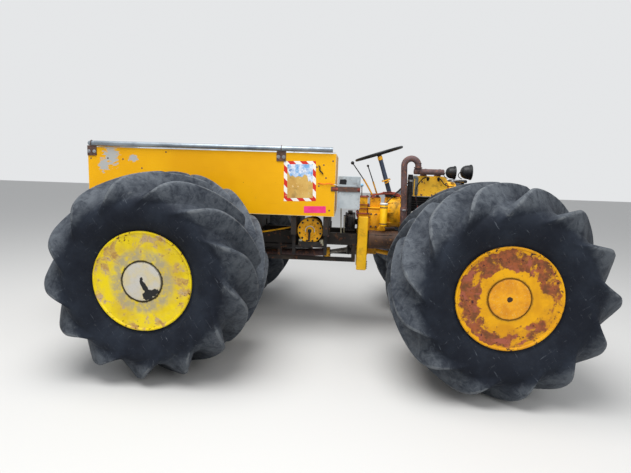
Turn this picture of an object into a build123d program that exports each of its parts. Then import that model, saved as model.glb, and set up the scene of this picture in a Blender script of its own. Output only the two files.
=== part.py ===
from build123d import *
import os
from math import cos, radians, sin

os.makedirs("parts", exist_ok=True)

# A four-wheel swamp buggy tractor, in millimetres.
# +X is forward, +Z is up, and the origin lies on the ground under the middle of the vehicle.
# The right side is -Y, so every loop over sides multiplies its Y values by -1 or 1.
sides = (("right", -1), ("left", 1))

# Clearances
running_gap = 0.3           # between a pin or shaft and its bore, and between round faces that meet
side_play = 3               # beside a part that turns on a pin

# Flats that stand for the curve of slender round bars and of bores out of sight
bar_sides = 12
bore_sides = 13
bead_sides = 26             # round the inner edge of a sidewall, the fan housing and the lamps

# Wheels and axle lines
tyre_radius = 830           # to the tips of the lugs
tyre_width = 1090
hub_height = tyre_radius
wheelbase = 2704
rear_axle_x = -1220
front_axle_x = rear_axle_x + wheelbase
wheel_y = 1145              # middle of a tyre
axle_positions = (("rear", rear_axle_x), ("front", front_axle_x))

# Main rails
rail_depth = 120
rail_width = 60
rail_wall = 8
rail_outer_y = 260
rail_bottom_z = 960
rail_top_z = rail_bottom_z + rail_depth
rail_rear_x = -2200
rail_front_x = 1850
rail_inner_y = rail_outer_y - rail_width
web_inner_y = rail_outer_y - rail_wall

# Cargo bed
bed_length = 2440
bed_height = 600
bed_half_width = 520
bed_wall = 19
bed_front_x = 180
bed_rear_x = bed_front_x - bed_length
bearer_depth = 190
bed_bottom_z = rail_top_z + bearer_depth
bed_top_z = bed_bottom_z + bed_height
bed_middle_x = (bed_front_x + bed_rear_x) / 2
bed_middle_z = (bed_top_z + bed_bottom_z) / 2

# Wheel: a wide drum rim, closed outside by a disc, on a long hub
rim_width = 1000
rim_plate = 10
disc_plate = 14
flange_radius = 380
barrel_radius = 330
barrel_wall = 8
hub_radius = 110
spindle_radius = 45
hub_inner_end = 345         # from the middle of the wheel inwards to the hub's end
spindle_end_gap = 30        # from the spindle's end to the disc

# Tyre
lug_count = 13              # on each half of the tread
lug_pitch = 360 / lug_count
bead_radius = 388           # to the corners of the flats
sidewall_ring_radius = 520

# Winch
winch_x = -58
winch_z = 1113
winch_case_radius = 127
winch_case_outer_y = -400
winch_case_inner_y = -rail_outer_y
winch_shaft_radius = 18

# Drive line
case_rear_x = 420
case_thickness = 105
case_front_x = case_rear_x + case_thickness
case_radius = 165
upper_shaft_z = 1180
lower_shaft_z = 875
case_top_z = 1245
pinion_z = 765              # the axles' pinions lie below their wheels' axis
prop_shaft_radius = 24

# Engine and gearbox
gearbox_front_x = 700
gearbox_half_width = 130
bell_front_x = 885
crank_z = 1300
bell_radius = 160
engine_front_x = 1330
engine_half_width = 200
cylinder_top_z = 1480
shroud_top_z = 1690
fan_housing_front_x = 1405

# Steering
king_pin_y = 650
king_pin_radius = 20
steer_arm_length = 200
column_tilt = 18            # degrees back from the vertical
column_base = (754, 0, 1475)
column_length = 435
steering_wheel_radius = 245


# A solid through closed rings of equally many points, with flat facets between them
def ring_solid(rings):
    facets = [Face(Wire.make_polygon(rings[0])), Face(Wire.make_polygon(rings[-1]))]
    for inner, outer in zip(rings[:-1], rings[1:]):
        for here in range(len(inner)):
            after = (here + 1) % len(inner)
            facets.append(Face(Wire.make_polygon((inner[here], inner[after], outer[here]))))
            facets.append(Face(Wire.make_polygon((inner[after], outer[after], outer[here]))))
    return Solid(Shell(facets))


# The corners of a regular ring on a plane that looks along the vehicle or across it
def ring_corners(origin, z_dir, radius, count):
    plane = Plane(origin=origin, x_dir=(0, 1, 0) if abs(Vector(*z_dir).Y) < 0.5 else (1, 0, 0), z_dir=z_dir)
    angles = [radians(index * 360 / count) for index in range(count)]
    return [plane.origin + plane.x_dir * radius * cos(a) + plane.y_dir * radius * sin(a) for a in angles]


# Main rails, open towards the middle
for side_name, side in sides:
    with BuildPart() as rail:
        with BuildSketch(Plane.YZ.offset(rail_rear_x)):
            with Locations((side * (rail_outer_y + rail_inner_y) / 2, rail_bottom_z + rail_depth / 2)):
                Rectangle(rail_width, rail_depth)
            with Locations((side * (rail_inner_y + web_inner_y) / 2, rail_bottom_z + rail_depth / 2)):
                Rectangle(rail_width - rail_wall, rail_depth - 2 * rail_wall, mode=Mode.SUBTRACT)
        extrude(amount=rail_front_x - rail_rear_x)
    rail.part.label = f"frame_rail_{side_name}"
    export_step(rail.part, f"parts/frame_rail_{side_name}.step")

# Cross members between the webs, and the front bumper across the rails' ends
cross_width = 60
cross_gap = 15              # between a cross member and the rail's flanges
cross_depth = rail_depth - 2 * cross_gap
gearbox_cross_x = 620
cross_positions = (-2100, -660, gearbox_cross_x, 1780)
bumper_thickness = 50
bumper_overhang = 60
with BuildPart() as cross_members:
    with Locations([(x, 0, rail_bottom_z + rail_depth / 2) for x in cross_positions]):
        Box(cross_width, 2 * web_inner_y, cross_depth)
    with Locations((rail_front_x + bumper_thickness / 2, 0, rail_bottom_z + rail_depth / 2)):
        Box(bumper_thickness, 2 * (rail_outer_y + bumper_overhang), rail_depth)
cross_members.part.label = "cross_members"
export_step(cross_members.part, "parts/cross_members.step")

# Tubular under-frame below each rail: bottom tube, middle tube and posts
under_tube = 40
under_rear_x = -850
under_front_x = 405
under_bottom_z = 785
middle_tube_z = 930
middle_tube_radius = 25
post_positions = (under_rear_x, -400, under_front_x - under_tube)
under_y = (rail_outer_y + rail_inner_y) / 2
for side_name, side in sides:
    with BuildPart() as under_frame:
        with Locations(((under_rear_x + under_front_x) / 2, side * under_y, under_bottom_z + under_tube / 2)):
            Box(under_front_x - under_rear_x, under_tube, under_tube)
        post_height = rail_bottom_z - under_bottom_z
        post_middle_z = under_bottom_z + post_height / 2
        with Locations([(x + under_tube / 2, side * under_y, post_middle_z) for x in post_positions]):
            Box(under_tube, under_tube, post_height)
        with BuildSketch(Plane.YZ.offset(post_positions[0] + under_tube / 2)):
            with Locations((side * under_y, middle_tube_z)):
                RegularPolygon(middle_tube_radius, bar_sides)
        extrude(amount=winch_x - post_positions[0])
    under_frame.part.label = f"under_frame_{side_name}"
    export_step(under_frame.part, f"parts/under_frame_{side_name}.step")

# Rear cross channel with the tongue that a trailer pin drops through
hitch_thickness = 50
tongue_length = 100
tongue_half_width = 60
tongue_thickness = 25
tongue_z = rail_bottom_z + 60
pin_hole_radius = 15
pin_hole_from_end = 45
with BuildPart() as drawbar:
    with Locations((rail_rear_x - hitch_thickness / 2, 0, rail_bottom_z + rail_depth / 2)):
        Box(hitch_thickness, 2 * (rail_outer_y + bumper_overhang), rail_depth)
    with BuildSketch(Plane.XY.offset(tongue_z)):
        with Locations((rail_rear_x - hitch_thickness - tongue_length / 2, 0)):
            Rectangle(tongue_length, 2 * tongue_half_width)
        with Locations((rail_rear_x - hitch_thickness - tongue_length + pin_hole_from_end, 0)):
            Circle(pin_hole_radius, mode=Mode.SUBTRACT)
    extrude(amount=tongue_thickness)
drawbar.part.label = "drawbar"
export_step(drawbar.part, "parts/drawbar.step")

# Bearers across the rails, under the bed
bearer_width = 50
bearer_positions = (bed_rear_x + 140, -1660, -1100, -640, -215, bed_front_x - 80)
with BuildPart() as bed_bearers:
    with Locations([(x, 0, rail_top_z + bearer_depth / 2) for x in bearer_positions]):
        Box(bearer_width, 2 * (bed_half_width - bed_wall), bearer_depth)
bed_bearers.part.label = "bed_bearers"
export_step(bed_bearers.part, "parts/bed_bearers.step")

# Cargo bed: two long sides, two end panels and a floor, all of one thickness
for side_name, side in sides:
    with BuildPart() as bed_side:
        with Locations((bed_middle_x, side * (bed_half_width - bed_wall / 2), bed_middle_z)):
            Box(bed_length, bed_wall, bed_height)
    bed_side.part.label = f"bed_side_{side_name}"
    export_step(bed_side.part, f"parts/bed_side_{side_name}.step")

end_panels = (("bed_front_panel", bed_front_x - bed_wall / 2), ("bed_rear_panel", bed_rear_x + bed_wall / 2))
bed_inner_y = bed_half_width - bed_wall
for panel_name, panel_x in end_panels:
    with BuildPart() as end_panel:
        with Locations((panel_x, 0, bed_middle_z)):
            Box(bed_wall, 2 * bed_inner_y, bed_height)
    end_panel.part.label = panel_name
    export_step(end_panel.part, f"parts/{panel_name}.step")

with BuildPart() as bed_floor:
    with Locations((bed_middle_x, 0, bed_bottom_z + bed_wall / 2)):
        Box(bed_length - 2 * bed_wall, 2 * bed_inner_y, bed_wall)
bed_floor.part.label = "bed_floor"
export_step(bed_floor.part, "parts/bed_floor.step")

# Steel brackets on the bed's sides, and the pipe rail that lies on them
bracket_width = 90
bracket_positions = (bed_rear_x + bracket_width / 2, bed_front_x - 525)
bracket_plate = 8
bracket_bottom_z = bed_top_z - 85
bracket_top_z = bed_top_z + 10
with BuildPart() as rail_brackets:
    for side_name, side in sides:
        bracket_y = side * (bed_half_width + bracket_plate / 2)
        with Locations([(x, bracket_y, (bracket_bottom_z + bracket_top_z) / 2) for x in bracket_positions]):
            Box(bracket_width, bracket_plate, bracket_top_z - bracket_bottom_z)
rail_brackets.part.label = "rail_brackets"
export_step(rail_brackets.part, "parts/rail_brackets.step")

pipe_radius = 24
pipe_bend_radius = 70
pipe_front_x = bed_front_x - 35
pipe_rear_x = bed_rear_x
pipe_y = bed_half_width + bracket_plate / 2
pipe_z = bracket_top_z + running_gap + pipe_radius
with BuildPart() as bed_rail:
    with BuildLine():
        rail_path = FilletPolyline(
            (pipe_front_x, -pipe_y, pipe_z),
            (pipe_rear_x, -pipe_y, pipe_z),
            (pipe_rear_x, pipe_y, pipe_z),
            (pipe_front_x, pipe_y, pipe_z),
            radius=pipe_bend_radius,
        )
    with BuildSketch(Plane(origin=rail_path @ 0, z_dir=rail_path % 0)):
        RegularPolygon(pipe_radius, bar_sides)
    sweep(path=rail_path)
bed_rail.part.label = "bed_rail"
export_step(bed_rail.part, "parts/bed_rail.step")

# Axle housings: a tube each, a round differential, a pinion nose and two saddles under the rails
axle_tube_radius = 70
axle_sides = 16
housing_sections = ((-150, 78), (-45, 165), (45, 165), (150, 78))   # place across, radius
nose_radius = 62
nose_length = 195
saddle_length = 120
saddle_height = rail_bottom_z - hub_height
hub_end_y = wheel_y - hub_inner_end
spindle_end_y = wheel_y + rim_width / 2 - disc_plate - spindle_end_gap
housing_end_y = hub_end_y - 20
with BuildPart() as rear_axle:
    with BuildSketch(Plane.XZ.offset(-housing_end_y)):
        with Locations((rear_axle_x, hub_height)):
            RegularPolygon(axle_tube_radius, axle_sides)
    extrude(amount=2 * housing_end_y)
    with Locations((rear_axle_x, 0, hub_height)):
        Cylinder(spindle_radius, 2 * spindle_end_y, rotation=(90, 0, 0))
    housing = [((rear_axle_x, y, hub_height), radius) for y, radius in housing_sections]
    add(ring_solid([ring_corners(place, (0, 1, 0), radius, axle_sides) for place, radius in housing]))
    with BuildSketch(Plane.YZ.offset(rear_axle_x)):
        with Locations((0, pinion_z)):
            RegularPolygon(nose_radius, axle_sides)
    extrude(amount=nose_length)
    with Locations([(rear_axle_x, side * under_y, hub_height + saddle_height / 2) for side_name, side in sides]):
        Box(saddle_length, rail_width, saddle_height)
rear_axle.part.label = "rear_axle"
export_step(rear_axle.part, "parts/rear_axle.step")

# Front axle, with a forked yoke and a king pin at each end
yoke_height = 300
yoke_length = 120
yoke_plate = 30
yoke_ear = 32
yoke_web_y = 545
yoke_outer_y = king_pin_y + 50
fork_height = yoke_height - 2 * yoke_ear
with BuildPart() as front_axle:
    with BuildSketch(Plane.XZ.offset(-yoke_web_y)):
        with Locations((front_axle_x, hub_height)):
            RegularPolygon(axle_tube_radius, axle_sides)
    extrude(amount=2 * yoke_web_y)
    housing = [((front_axle_x, y, hub_height), radius) for y, radius in housing_sections]
    add(ring_solid([ring_corners(place, (0, 1, 0), radius, axle_sides) for place, radius in housing]))
    with BuildSketch(Plane.YZ.offset(front_axle_x)):
        with Locations((0, pinion_z)):
            RegularPolygon(nose_radius, axle_sides)
    extrude(amount=-nose_length)
    with Locations([(front_axle_x, side * under_y, hub_height + saddle_height / 2) for side_name, side in sides]):
        Box(saddle_length, rail_width, saddle_height)
    for side_name, side in sides:
        with BuildSketch(Plane.YZ.offset(front_axle_x - yoke_length / 2)):
            with Locations((side * (yoke_web_y + yoke_outer_y - yoke_plate) / 2, hub_height)):
                Rectangle(yoke_outer_y - yoke_web_y + yoke_plate, yoke_height)
            with Locations((side * (yoke_web_y + yoke_outer_y) / 2, hub_height)):
                Rectangle(yoke_outer_y - yoke_web_y, fork_height, mode=Mode.SUBTRACT)
        extrude(amount=yoke_length)
        with Locations((front_axle_x, side * king_pin_y, hub_height)):
            Cylinder(king_pin_radius, yoke_height)
front_axle.part.label = "front_axle"
export_step(front_axle.part, "parts/front_axle.step")

# Steering knuckles: a sleeve on the king pin, a spindle outwards and an arm forwards
sleeve_radius = 50
sleeve_height = fork_height - 2 * side_play
spindle_root_y = king_pin_y + king_pin_radius + 15
arm_width = 40
arm_plate = 30
arm_pin_radius = 12
arm_pin_height = 60
for side_name, side in sides:
    with BuildPart() as knuckle:
        with BuildSketch(Plane.XY.offset(hub_height - sleeve_height / 2)):
            with Locations((front_axle_x, side * king_pin_y)):
                Circle(sleeve_radius)
        extrude(amount=sleeve_height)
        with BuildSketch(Plane.XZ.offset(-side * spindle_root_y)):
            with Locations((front_axle_x, hub_height)):
                Circle(spindle_radius)
        extrude(amount=-side * (spindle_end_y - spindle_root_y))
        arm_end = steer_arm_length + arm_width / 2
        with Locations((front_axle_x + arm_end / 2, side * king_pin_y, hub_height)):
            Box(arm_end, arm_width, arm_plate)
        with Locations((front_axle_x + steer_arm_length, side * king_pin_y, hub_height + arm_pin_height / 2)):
            Cylinder(arm_pin_radius, arm_pin_height)
        with Locations((front_axle_x, side * king_pin_y, hub_height)):
            Cylinder(king_pin_radius + running_gap, sleeve_height, mode=Mode.SUBTRACT)
    knuckle.part.label = f"knuckle_{side_name}"
    export_step(knuckle.part, f"parts/knuckle_{side_name}.step")

# Tie rod, ahead of the axle, with an eye over each arm's pin
tie_rod_radius = 14
tie_eye_radius = 26
tie_eye_overlap = 8         # of the rod's ends into the eyes
tie_eye_height = 30
tie_rod_z = hub_height + arm_plate / 2 + 1 + tie_eye_height / 2
with BuildPart() as tie_rod:
    rod_half_length = king_pin_y - tie_eye_radius + tie_eye_overlap
    with BuildSketch(Plane.XZ.offset(-rod_half_length)):
        with Locations((front_axle_x + steer_arm_length, tie_rod_z)):
            RegularPolygon(tie_rod_radius, bar_sides)
    extrude(amount=2 * rod_half_length)
    eye_places = [(front_axle_x + steer_arm_length, side * king_pin_y, tie_rod_z) for side_name, side in sides]
    with BuildSketch(Plane.XY.offset(tie_rod_z - tie_eye_height / 2)):
        with Locations([(x, y) for x, y, z in eye_places]):
            RegularPolygon(tie_eye_radius, bar_sides)
    extrude(amount=tie_eye_height)
    with Locations(eye_places):
        Cylinder(arm_pin_radius + running_gap, 2 * tie_eye_height, mode=Mode.SUBTRACT)
tie_rod.part.label = "tie_rod"
export_step(tie_rod.part, "parts/tie_rod.step")

# One wheel about the Y axis, its disc towards -Y, copied to the four places
with BuildPart() as wheel_master:
    with BuildSketch(Plane.XZ.offset(rim_width / 2 - disc_plate)):
        Circle(flange_radius)
    extrude(amount=disc_plate)
    with BuildSketch(Plane.XZ.offset(-rim_width / 2)):
        RegularPolygon(barrel_radius, bore_sides)
        RegularPolygon(barrel_radius - barrel_wall, bore_sides, mode=Mode.SUBTRACT)
    extrude(amount=rim_width)
    with BuildSketch(Plane.XZ.offset(-rim_width / 2)):
        RegularPolygon(flange_radius, bore_sides)
        RegularPolygon(barrel_radius - barrel_wall, bore_sides, mode=Mode.SUBTRACT)
    extrude(amount=rim_plate)
    with BuildSketch(Plane.XZ.offset(-hub_inner_end)):
        RegularPolygon(hub_radius, bore_sides)
    extrude(amount=hub_inner_end + rim_width / 2 - disc_plate)
    with BuildSketch(Plane.XZ.offset(-hub_inner_end)):
        Circle(spindle_radius + running_gap)
    extrude(amount=hub_inner_end + rim_width / 2 - disc_plate, mode=Mode.SUBTRACT)

# One tyre about the Y axis: on each half, closed rings of lugs and valleys are joined by flat facets.
# Ring sections: distance from the middle of the tread, valley radius, crest radius,
# degrees that the lug trails behind its inner end, half the foot's angle, half the crest's angle
ring_sections = (
    (0, 702, 830, 0.0, 9.0, 2.4),
    (205, 698, 829, 22.5, 9.6, 2.2),
    (455, 672, 790, 43.0, 10.0, 1.8),
    (525, 615, 652, 50.0, 9.0, 2.0),
    (545, 560, 560, 53.0, 9.0, 3.0),
)
with BuildPart() as tyre_master:
    for side_name, side in sides:
        rings = []
        for ring_y, valley_radius, crest_radius, trail, foot_half, crest_half in ring_sections:
            corners = (
                (valley_radius, -foot_half),
                (crest_radius, -crest_half),
                (crest_radius, crest_half),
                (valley_radius, foot_half),
            )
            first = trail + (lug_pitch / 2 if side > 0 else 0)
            turned = [(r, radians(first + lug * lug_pitch + a)) for lug in range(lug_count) for r, a in corners]
            rings.append([Vector(r * cos(a), side * ring_y, r * sin(a)) for r, a in turned])
        add(ring_solid(rings))
    for side_name, side in sides:
        bead_y = rim_width / 2 - rim_plate if side > 0 else rim_width / 2 - disc_plate
        bead_ring = ring_corners((0, side * bead_y, 0), (0, 1, 0), bead_radius, bead_sides)
        edge_ring = ring_corners((0, side * tyre_width / 2, 0), (0, 1, 0), sidewall_ring_radius, bead_sides)
        add(ring_solid([bead_ring, edge_ring]), mode=Mode.SUBTRACT)
    with BuildSketch(Plane.XZ.offset(-tyre_width / 2)):
        RegularPolygon(barrel_radius + running_gap, bore_sides, major_radius=False)
    extrude(amount=tyre_width, mode=Mode.SUBTRACT)

# Degrees that each tyre is turned, so that the lugs stand as they do at rest
tyre_turns = {"rear_right": 4, "rear_left": 10, "front_right": 14.4, "front_left": 21}
for axle_name, axle_x in axle_positions:
    for side_name, side in sides:
        corner = f"{axle_name}_{side_name}"
        place = Pos(axle_x, side * wheel_y, hub_height)
        turned_tyre = tyre_master.part.rotate(Axis.Y, -tyre_turns[corner])
        with BuildPart() as wheel:
            add(place * (wheel_master.part if side < 0 else wheel_master.part.mirror(Plane.XZ)))
        wheel.part.label = f"wheel_{corner}"
        export_step(wheel.part, f"parts/wheel_{corner}.step")
        with BuildPart() as tyre:
            add(place * (turned_tyre if side < 0 else turned_tyre.mirror(Plane.XZ)))
        tyre.part.label = f"tyre_{corner}"
        export_step(tyre.part, f"parts/tyre_{corner}.step")

# Drop case: a chain case with a round foot, a bolted flange and the selector block on top
case_flange_plate = 35
case_flange_overhang = 12
selector_half_width = 90
selector_height = 170
with BuildPart() as drop_case:
    with BuildSketch(Plane.YZ.offset(case_rear_x)):
        with Locations((0, lower_shaft_z)):
            Circle(case_radius)
        with Locations((0, (lower_shaft_z + case_top_z) / 2)):
            Rectangle(2 * case_radius, case_top_z - lower_shaft_z)
    extrude(amount=case_thickness)
    case_middle_x = (case_rear_x + case_front_x) / 2
    with Locations((case_middle_x, 0, case_top_z + case_flange_plate / 2)):
        Box(case_thickness, 2 * (case_radius + case_flange_overhang), case_flange_plate)
    with Locations((case_middle_x, 0, case_top_z + case_flange_plate + selector_height / 2)):
        Box(case_thickness - 20, 2 * selector_half_width, selector_height)
drop_case.part.label = "drop_case"
export_step(drop_case.part, "parts/drop_case.step")

# Brake drum on the tail of the upper shaft
drum_radius = 100
drum_rear_x = 285
drum_front_x = 395
stub_radius = 30
with BuildPart() as brake_drum:
    with BuildSketch(Plane.YZ.offset(drum_rear_x)):
        with Locations((0, upper_shaft_z)):
            Circle(drum_radius)
    extrude(amount=drum_front_x - drum_rear_x)
    with BuildSketch(Plane.YZ.offset(drum_front_x)):
        with Locations((0, upper_shaft_z)):
            Circle(stub_radius)
    extrude(amount=case_rear_x - drum_front_x)
brake_drum.part.label = "brake_drum"
export_step(brake_drum.part, "parts/brake_drum.step")

# Gearbox on its cross member, with the shift tower on top
gearbox_bottom_z = rail_bottom_z + rail_depth / 2 + cross_depth / 2
gearbox_top_z = 1340
tower_top_z = 1450
tower_length = 110
with BuildPart() as gearbox:
    with BuildSketch(Plane.YZ.offset(case_front_x)):
        with Locations((0, (gearbox_bottom_z + gearbox_top_z) / 2)):
            RectangleRounded(2 * gearbox_half_width, gearbox_top_z - gearbox_bottom_z, 30)
    extrude(amount=gearbox_front_x - case_front_x)
    with Locations((case_front_x + tower_length / 2 + 20, 0, (gearbox_top_z + tower_top_z) / 2)):
        Box(tower_length, 120, tower_top_z - gearbox_top_z)
gearbox.part.label = "gearbox"
export_step(gearbox.part, "parts/gearbox.step")

# Bell housing between gearbox and engine
with BuildPart() as bell_housing:
    with BuildSketch(Plane.YZ.offset(gearbox_front_x)):
        with Locations((0, crank_z)):
            Circle(bell_radius)
    extrude(amount=bell_front_x - gearbox_front_x)
bell_housing.part.label = "bell_housing"
export_step(bell_housing.part, "parts/bell_housing.step")

# Engine: crankcase on the rails with its sump between them, and the finned cylinders above it
sump_half_width = 160
sump_depth = 100
crankcase_top_z = 1290
cylinder_half_width = 150
cylinder_inset = 35         # from the crankcase's ends to the cylinders
fin_count = 8
fin_plate = 7
fin_reach = 30              # past the cylinders
fin_step = (cylinder_top_z - crankcase_top_z) / fin_count
engine_middle_x = (bell_front_x + engine_front_x) / 2
engine_length = engine_front_x - bell_front_x
cylinder_length = engine_length - 2 * cylinder_inset
with BuildPart() as engine:
    with Locations((engine_middle_x, 0, (rail_top_z + crankcase_top_z) / 2)):
        Box(engine_length, 2 * engine_half_width, crankcase_top_z - rail_top_z)
    with Locations((engine_middle_x, 0, rail_top_z - sump_depth / 2)):
        Box(engine_length - 60, 2 * sump_half_width, sump_depth)
    with Locations([(engine_middle_x, side * under_y, rail_top_z + 10) for side_name, side in sides]):
        Box(engine_length, rail_width, 20)
    with Locations((engine_middle_x, 0, (crankcase_top_z + cylinder_top_z) / 2)):
        Box(cylinder_length, 2 * cylinder_half_width, cylinder_top_z - crankcase_top_z)
    fin_heights = [cylinder_top_z - fin_plate / 2 - index * fin_step for index in range(fin_count)]
    with Locations([(engine_middle_x, 0, z) for z in fin_heights]):
        Box(cylinder_length + fin_reach, 2 * (cylinder_half_width + fin_reach), fin_plate)
engine.part.label = "engine"
export_step(engine.part, "parts/engine.step")

# Sheet metal shroud over the cylinders
shroud_rear_x = 965
shroud_front_x = 1300
shroud_half_width = 210
shroud_corner = 60
with BuildPart() as engine_shroud:
    with BuildSketch(Plane.XZ.offset(-shroud_half_width)):
        with Locations(((shroud_rear_x + shroud_front_x) / 2, (cylinder_top_z + shroud_top_z) / 2)):
            Rectangle(shroud_front_x - shroud_rear_x, shroud_top_z - cylinder_top_z)
    extrude(amount=2 * shroud_half_width)
    fillet(engine_shroud.edges().filter_by(Axis.Y).group_by(Axis.Z)[-1], shroud_corner)
engine_shroud.part.label = "engine_shroud"
export_step(engine_shroud.part, "parts/engine_shroud.step")

# Fan housing at the front of the engine
fan_housing_half_width = 230
fan_housing_top_z = 1640
fan_mouth_radius = 175
fan_mouth_depth = 45
fan_hub_radius = 45
grille_bars = 8
grille_bar = 9
with BuildPart() as fan_housing:
    with BuildSketch(Plane.YZ.offset(engine_front_x)):
        with Locations((0, fan_housing_top_z - fan_housing_half_width)):
            RegularPolygon(fan_housing_half_width, bead_sides)
        with Locations((0, (rail_top_z + fan_housing_top_z - fan_housing_half_width) / 2)):
            Rectangle(2 * fan_housing_half_width, fan_housing_top_z - fan_housing_half_width - rail_top_z)
    extrude(amount=fan_housing_front_x - engine_front_x)
    with BuildSketch(Plane.YZ.offset(fan_housing_front_x)):
        with Locations((0, fan_housing_top_z - fan_housing_half_width)):
            RegularPolygon(fan_mouth_radius, bead_sides)
            RegularPolygon(fan_hub_radius, bar_sides, mode=Mode.SUBTRACT)
            with PolarLocations((fan_mouth_radius + fan_hub_radius) / 2, grille_bars):
                Rectangle(fan_mouth_radius - fan_hub_radius + grille_bar, grille_bar, mode=Mode.SUBTRACT)
    extrude(amount=-fan_mouth_depth, mode=Mode.SUBTRACT)
fan_housing.part.label = "fan_housing"
export_step(fan_housing.part, "parts/fan_housing.step")

# Exhaust manifold beside the shroud, and the pipe that arches out of it and runs down past the rail
exhaust_y = -295
manifold_z = 1730
manifold_radius = 28
manifold_rear_x = 945
manifold_front_x = 1240
port_positions = (1060, 1200)
port_radius = 20
port_y = -170
port_flange = 60
port_flange_plate = 10
outlet_x = 985
outlet_radius = 34
outlet_top_z = manifold_z + manifold_radius + 15
with BuildPart() as exhaust_manifold:
    with BuildSketch(Plane.YZ.offset(manifold_rear_x)):
        with Locations((exhaust_y, manifold_z)):
            RegularPolygon(manifold_radius, bar_sides)
    extrude(amount=manifold_front_x - manifold_rear_x)
    with BuildSketch(Plane.XY.offset(manifold_z)):
        with Locations((outlet_x, exhaust_y)):
            Circle(outlet_radius)
    extrude(amount=outlet_top_z - manifold_z)
    for port_x in port_positions:
        with BuildSketch(Plane.XZ.offset(-exhaust_y)):
            with Locations((port_x, manifold_z)):
                RegularPolygon(port_radius, bar_sides)
        extrude(amount=exhaust_y - port_y)
        with BuildSketch(Plane.XY.offset(shroud_top_z)):
            with Locations((port_x, port_y)):
                RegularPolygon(port_radius, bar_sides)
        extrude(amount=manifold_z + port_radius - shroud_top_z)
        with Locations((port_x, port_y, shroud_top_z + port_flange_plate / 2)):
            Box(port_flange, port_flange, port_flange_plate)
exhaust_manifold.part.label = "exhaust_manifold"
export_step(exhaust_manifold.part, "parts/exhaust_manifold.step")

exhaust_radius = 30
exhaust_wall = 3
exhaust_mouth = 60          # depth of the open end
exhaust_bend = 69
exhaust_bottom_z = 1040
exhaust_arch_z = 1855
exhaust_rear_x = 845
exhaust_foot_x = 882
with BuildPart() as exhaust_pipe:
    with BuildLine():
        exhaust_path = FilletPolyline(
            (exhaust_foot_x, exhaust_y, exhaust_bottom_z),
            (exhaust_rear_x, exhaust_y, exhaust_arch_z),
            (outlet_x, exhaust_y, exhaust_arch_z),
            (outlet_x, exhaust_y, outlet_top_z),
            radius=exhaust_bend,
        )
    with BuildSketch(Plane(origin=exhaust_path @ 0, z_dir=exhaust_path % 0)):
        RegularPolygon(exhaust_radius, bar_sides)
    sweep(path=exhaust_path)
    with BuildSketch(Plane(origin=exhaust_path @ 0, z_dir=exhaust_path % 0)):
        RegularPolygon(exhaust_radius - exhaust_wall, bar_sides)
    extrude(amount=exhaust_mouth, mode=Mode.SUBTRACT)
exhaust_pipe.part.label = "exhaust_pipe"
export_step(exhaust_pipe.part, "parts/exhaust_pipe.step")

# Breather pipe at the rear of the engine
breather_x = 925
breather_radius = 28
breather_y = -engine_half_width - breather_radius - running_gap
breather_bottom_z = 1200
breather_top_z = 1665
with BuildPart() as breather:
    with BuildSketch(Plane.XY.offset(breather_bottom_z)):
        with Locations((breather_x, breather_y)):
            Circle(breather_radius)
    extrude(amount=breather_top_z - breather_bottom_z)
breather.part.label = "breather"
export_step(breather.part, "parts/breather.step")

# Lamp bar on two uprights from the rails, with a lamp at each end
lamp_x = 1440
lamp_y = 330
lamp_z = 1738
lamp_radius = 75
lamp_bar_radius = 16
lamp_bar_z = lamp_z - lamp_radius - lamp_bar_radius
upright_width = 30
with BuildPart() as lamp_bar:
    with Locations((lamp_x, 0, lamp_bar_z)):
        Cylinder(lamp_bar_radius, 2 * (lamp_y + 20), rotation=(90, 0, 0))
    with Locations([(lamp_x, side * under_y, (rail_top_z + lamp_bar_z) / 2) for side_name, side in sides]):
        Box(upright_width, upright_width, lamp_bar_z - rail_top_z)
lamp_bar.part.label = "lamp_bar"
export_step(lamp_bar.part, "parts/lamp_bar.step")

lamp_rim_radius = lamp_radius - running_gap
lamp_sections = ((-52, 14), (-37, 48), (-6, 64), (38, 69), (38, lamp_rim_radius), (52, lamp_rim_radius))
lamp_foot_radius = 12
lamp_foot_overlap = 25
with BuildPart() as headlamps:
    for side_name, side in sides:
        lamp = [((lamp_x + x, side * lamp_y, lamp_z), radius) for x, radius in lamp_sections]
        add(ring_solid([ring_corners(place, (1, 0, 0), radius, bead_sides) for place, radius in lamp]))
        foot_bottom_z = lamp_bar_z + lamp_bar_radius + running_gap
        with BuildSketch(Plane.XY.offset(foot_bottom_z)):
            with Locations((lamp_x, side * lamp_y)):
                RegularPolygon(lamp_foot_radius, bar_sides)
        extrude(amount=lamp_z - lamp_radius + lamp_foot_overlap - foot_bottom_z)
headlamps.part.label = "headlamps"
export_step(headlamps.part, "parts/headlamps.step")

# Oil canister with its cap, on a bracket from the gearbox
canister_x = 676
canister_y = -222
canister_radius = 38
canister_bottom_z = 1164
canister_top_z = 1385
canister_cap_radius = 42
canister_cap_height = 20
canister_bracket = 40
with BuildPart() as oil_canister:
    with BuildSketch(Plane.XY.offset(canister_bottom_z)):
        with Locations((canister_x, canister_y)):
            Circle(canister_radius)
    extrude(amount=canister_top_z - canister_bottom_z)
    with BuildSketch(Plane.XY.offset(canister_top_z)):
        with Locations((canister_x, canister_y)):
            Circle(canister_cap_radius)
    extrude(amount=canister_cap_height)
    bracket_reach = -canister_y - gearbox_half_width
    with Locations((canister_x, -gearbox_half_width - bracket_reach / 2, 1270)):
        Box(canister_bracket, bracket_reach, canister_bracket)
oil_canister.part.label = "oil_canister"
export_step(oil_canister.part, "parts/oil_canister.step")

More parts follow.
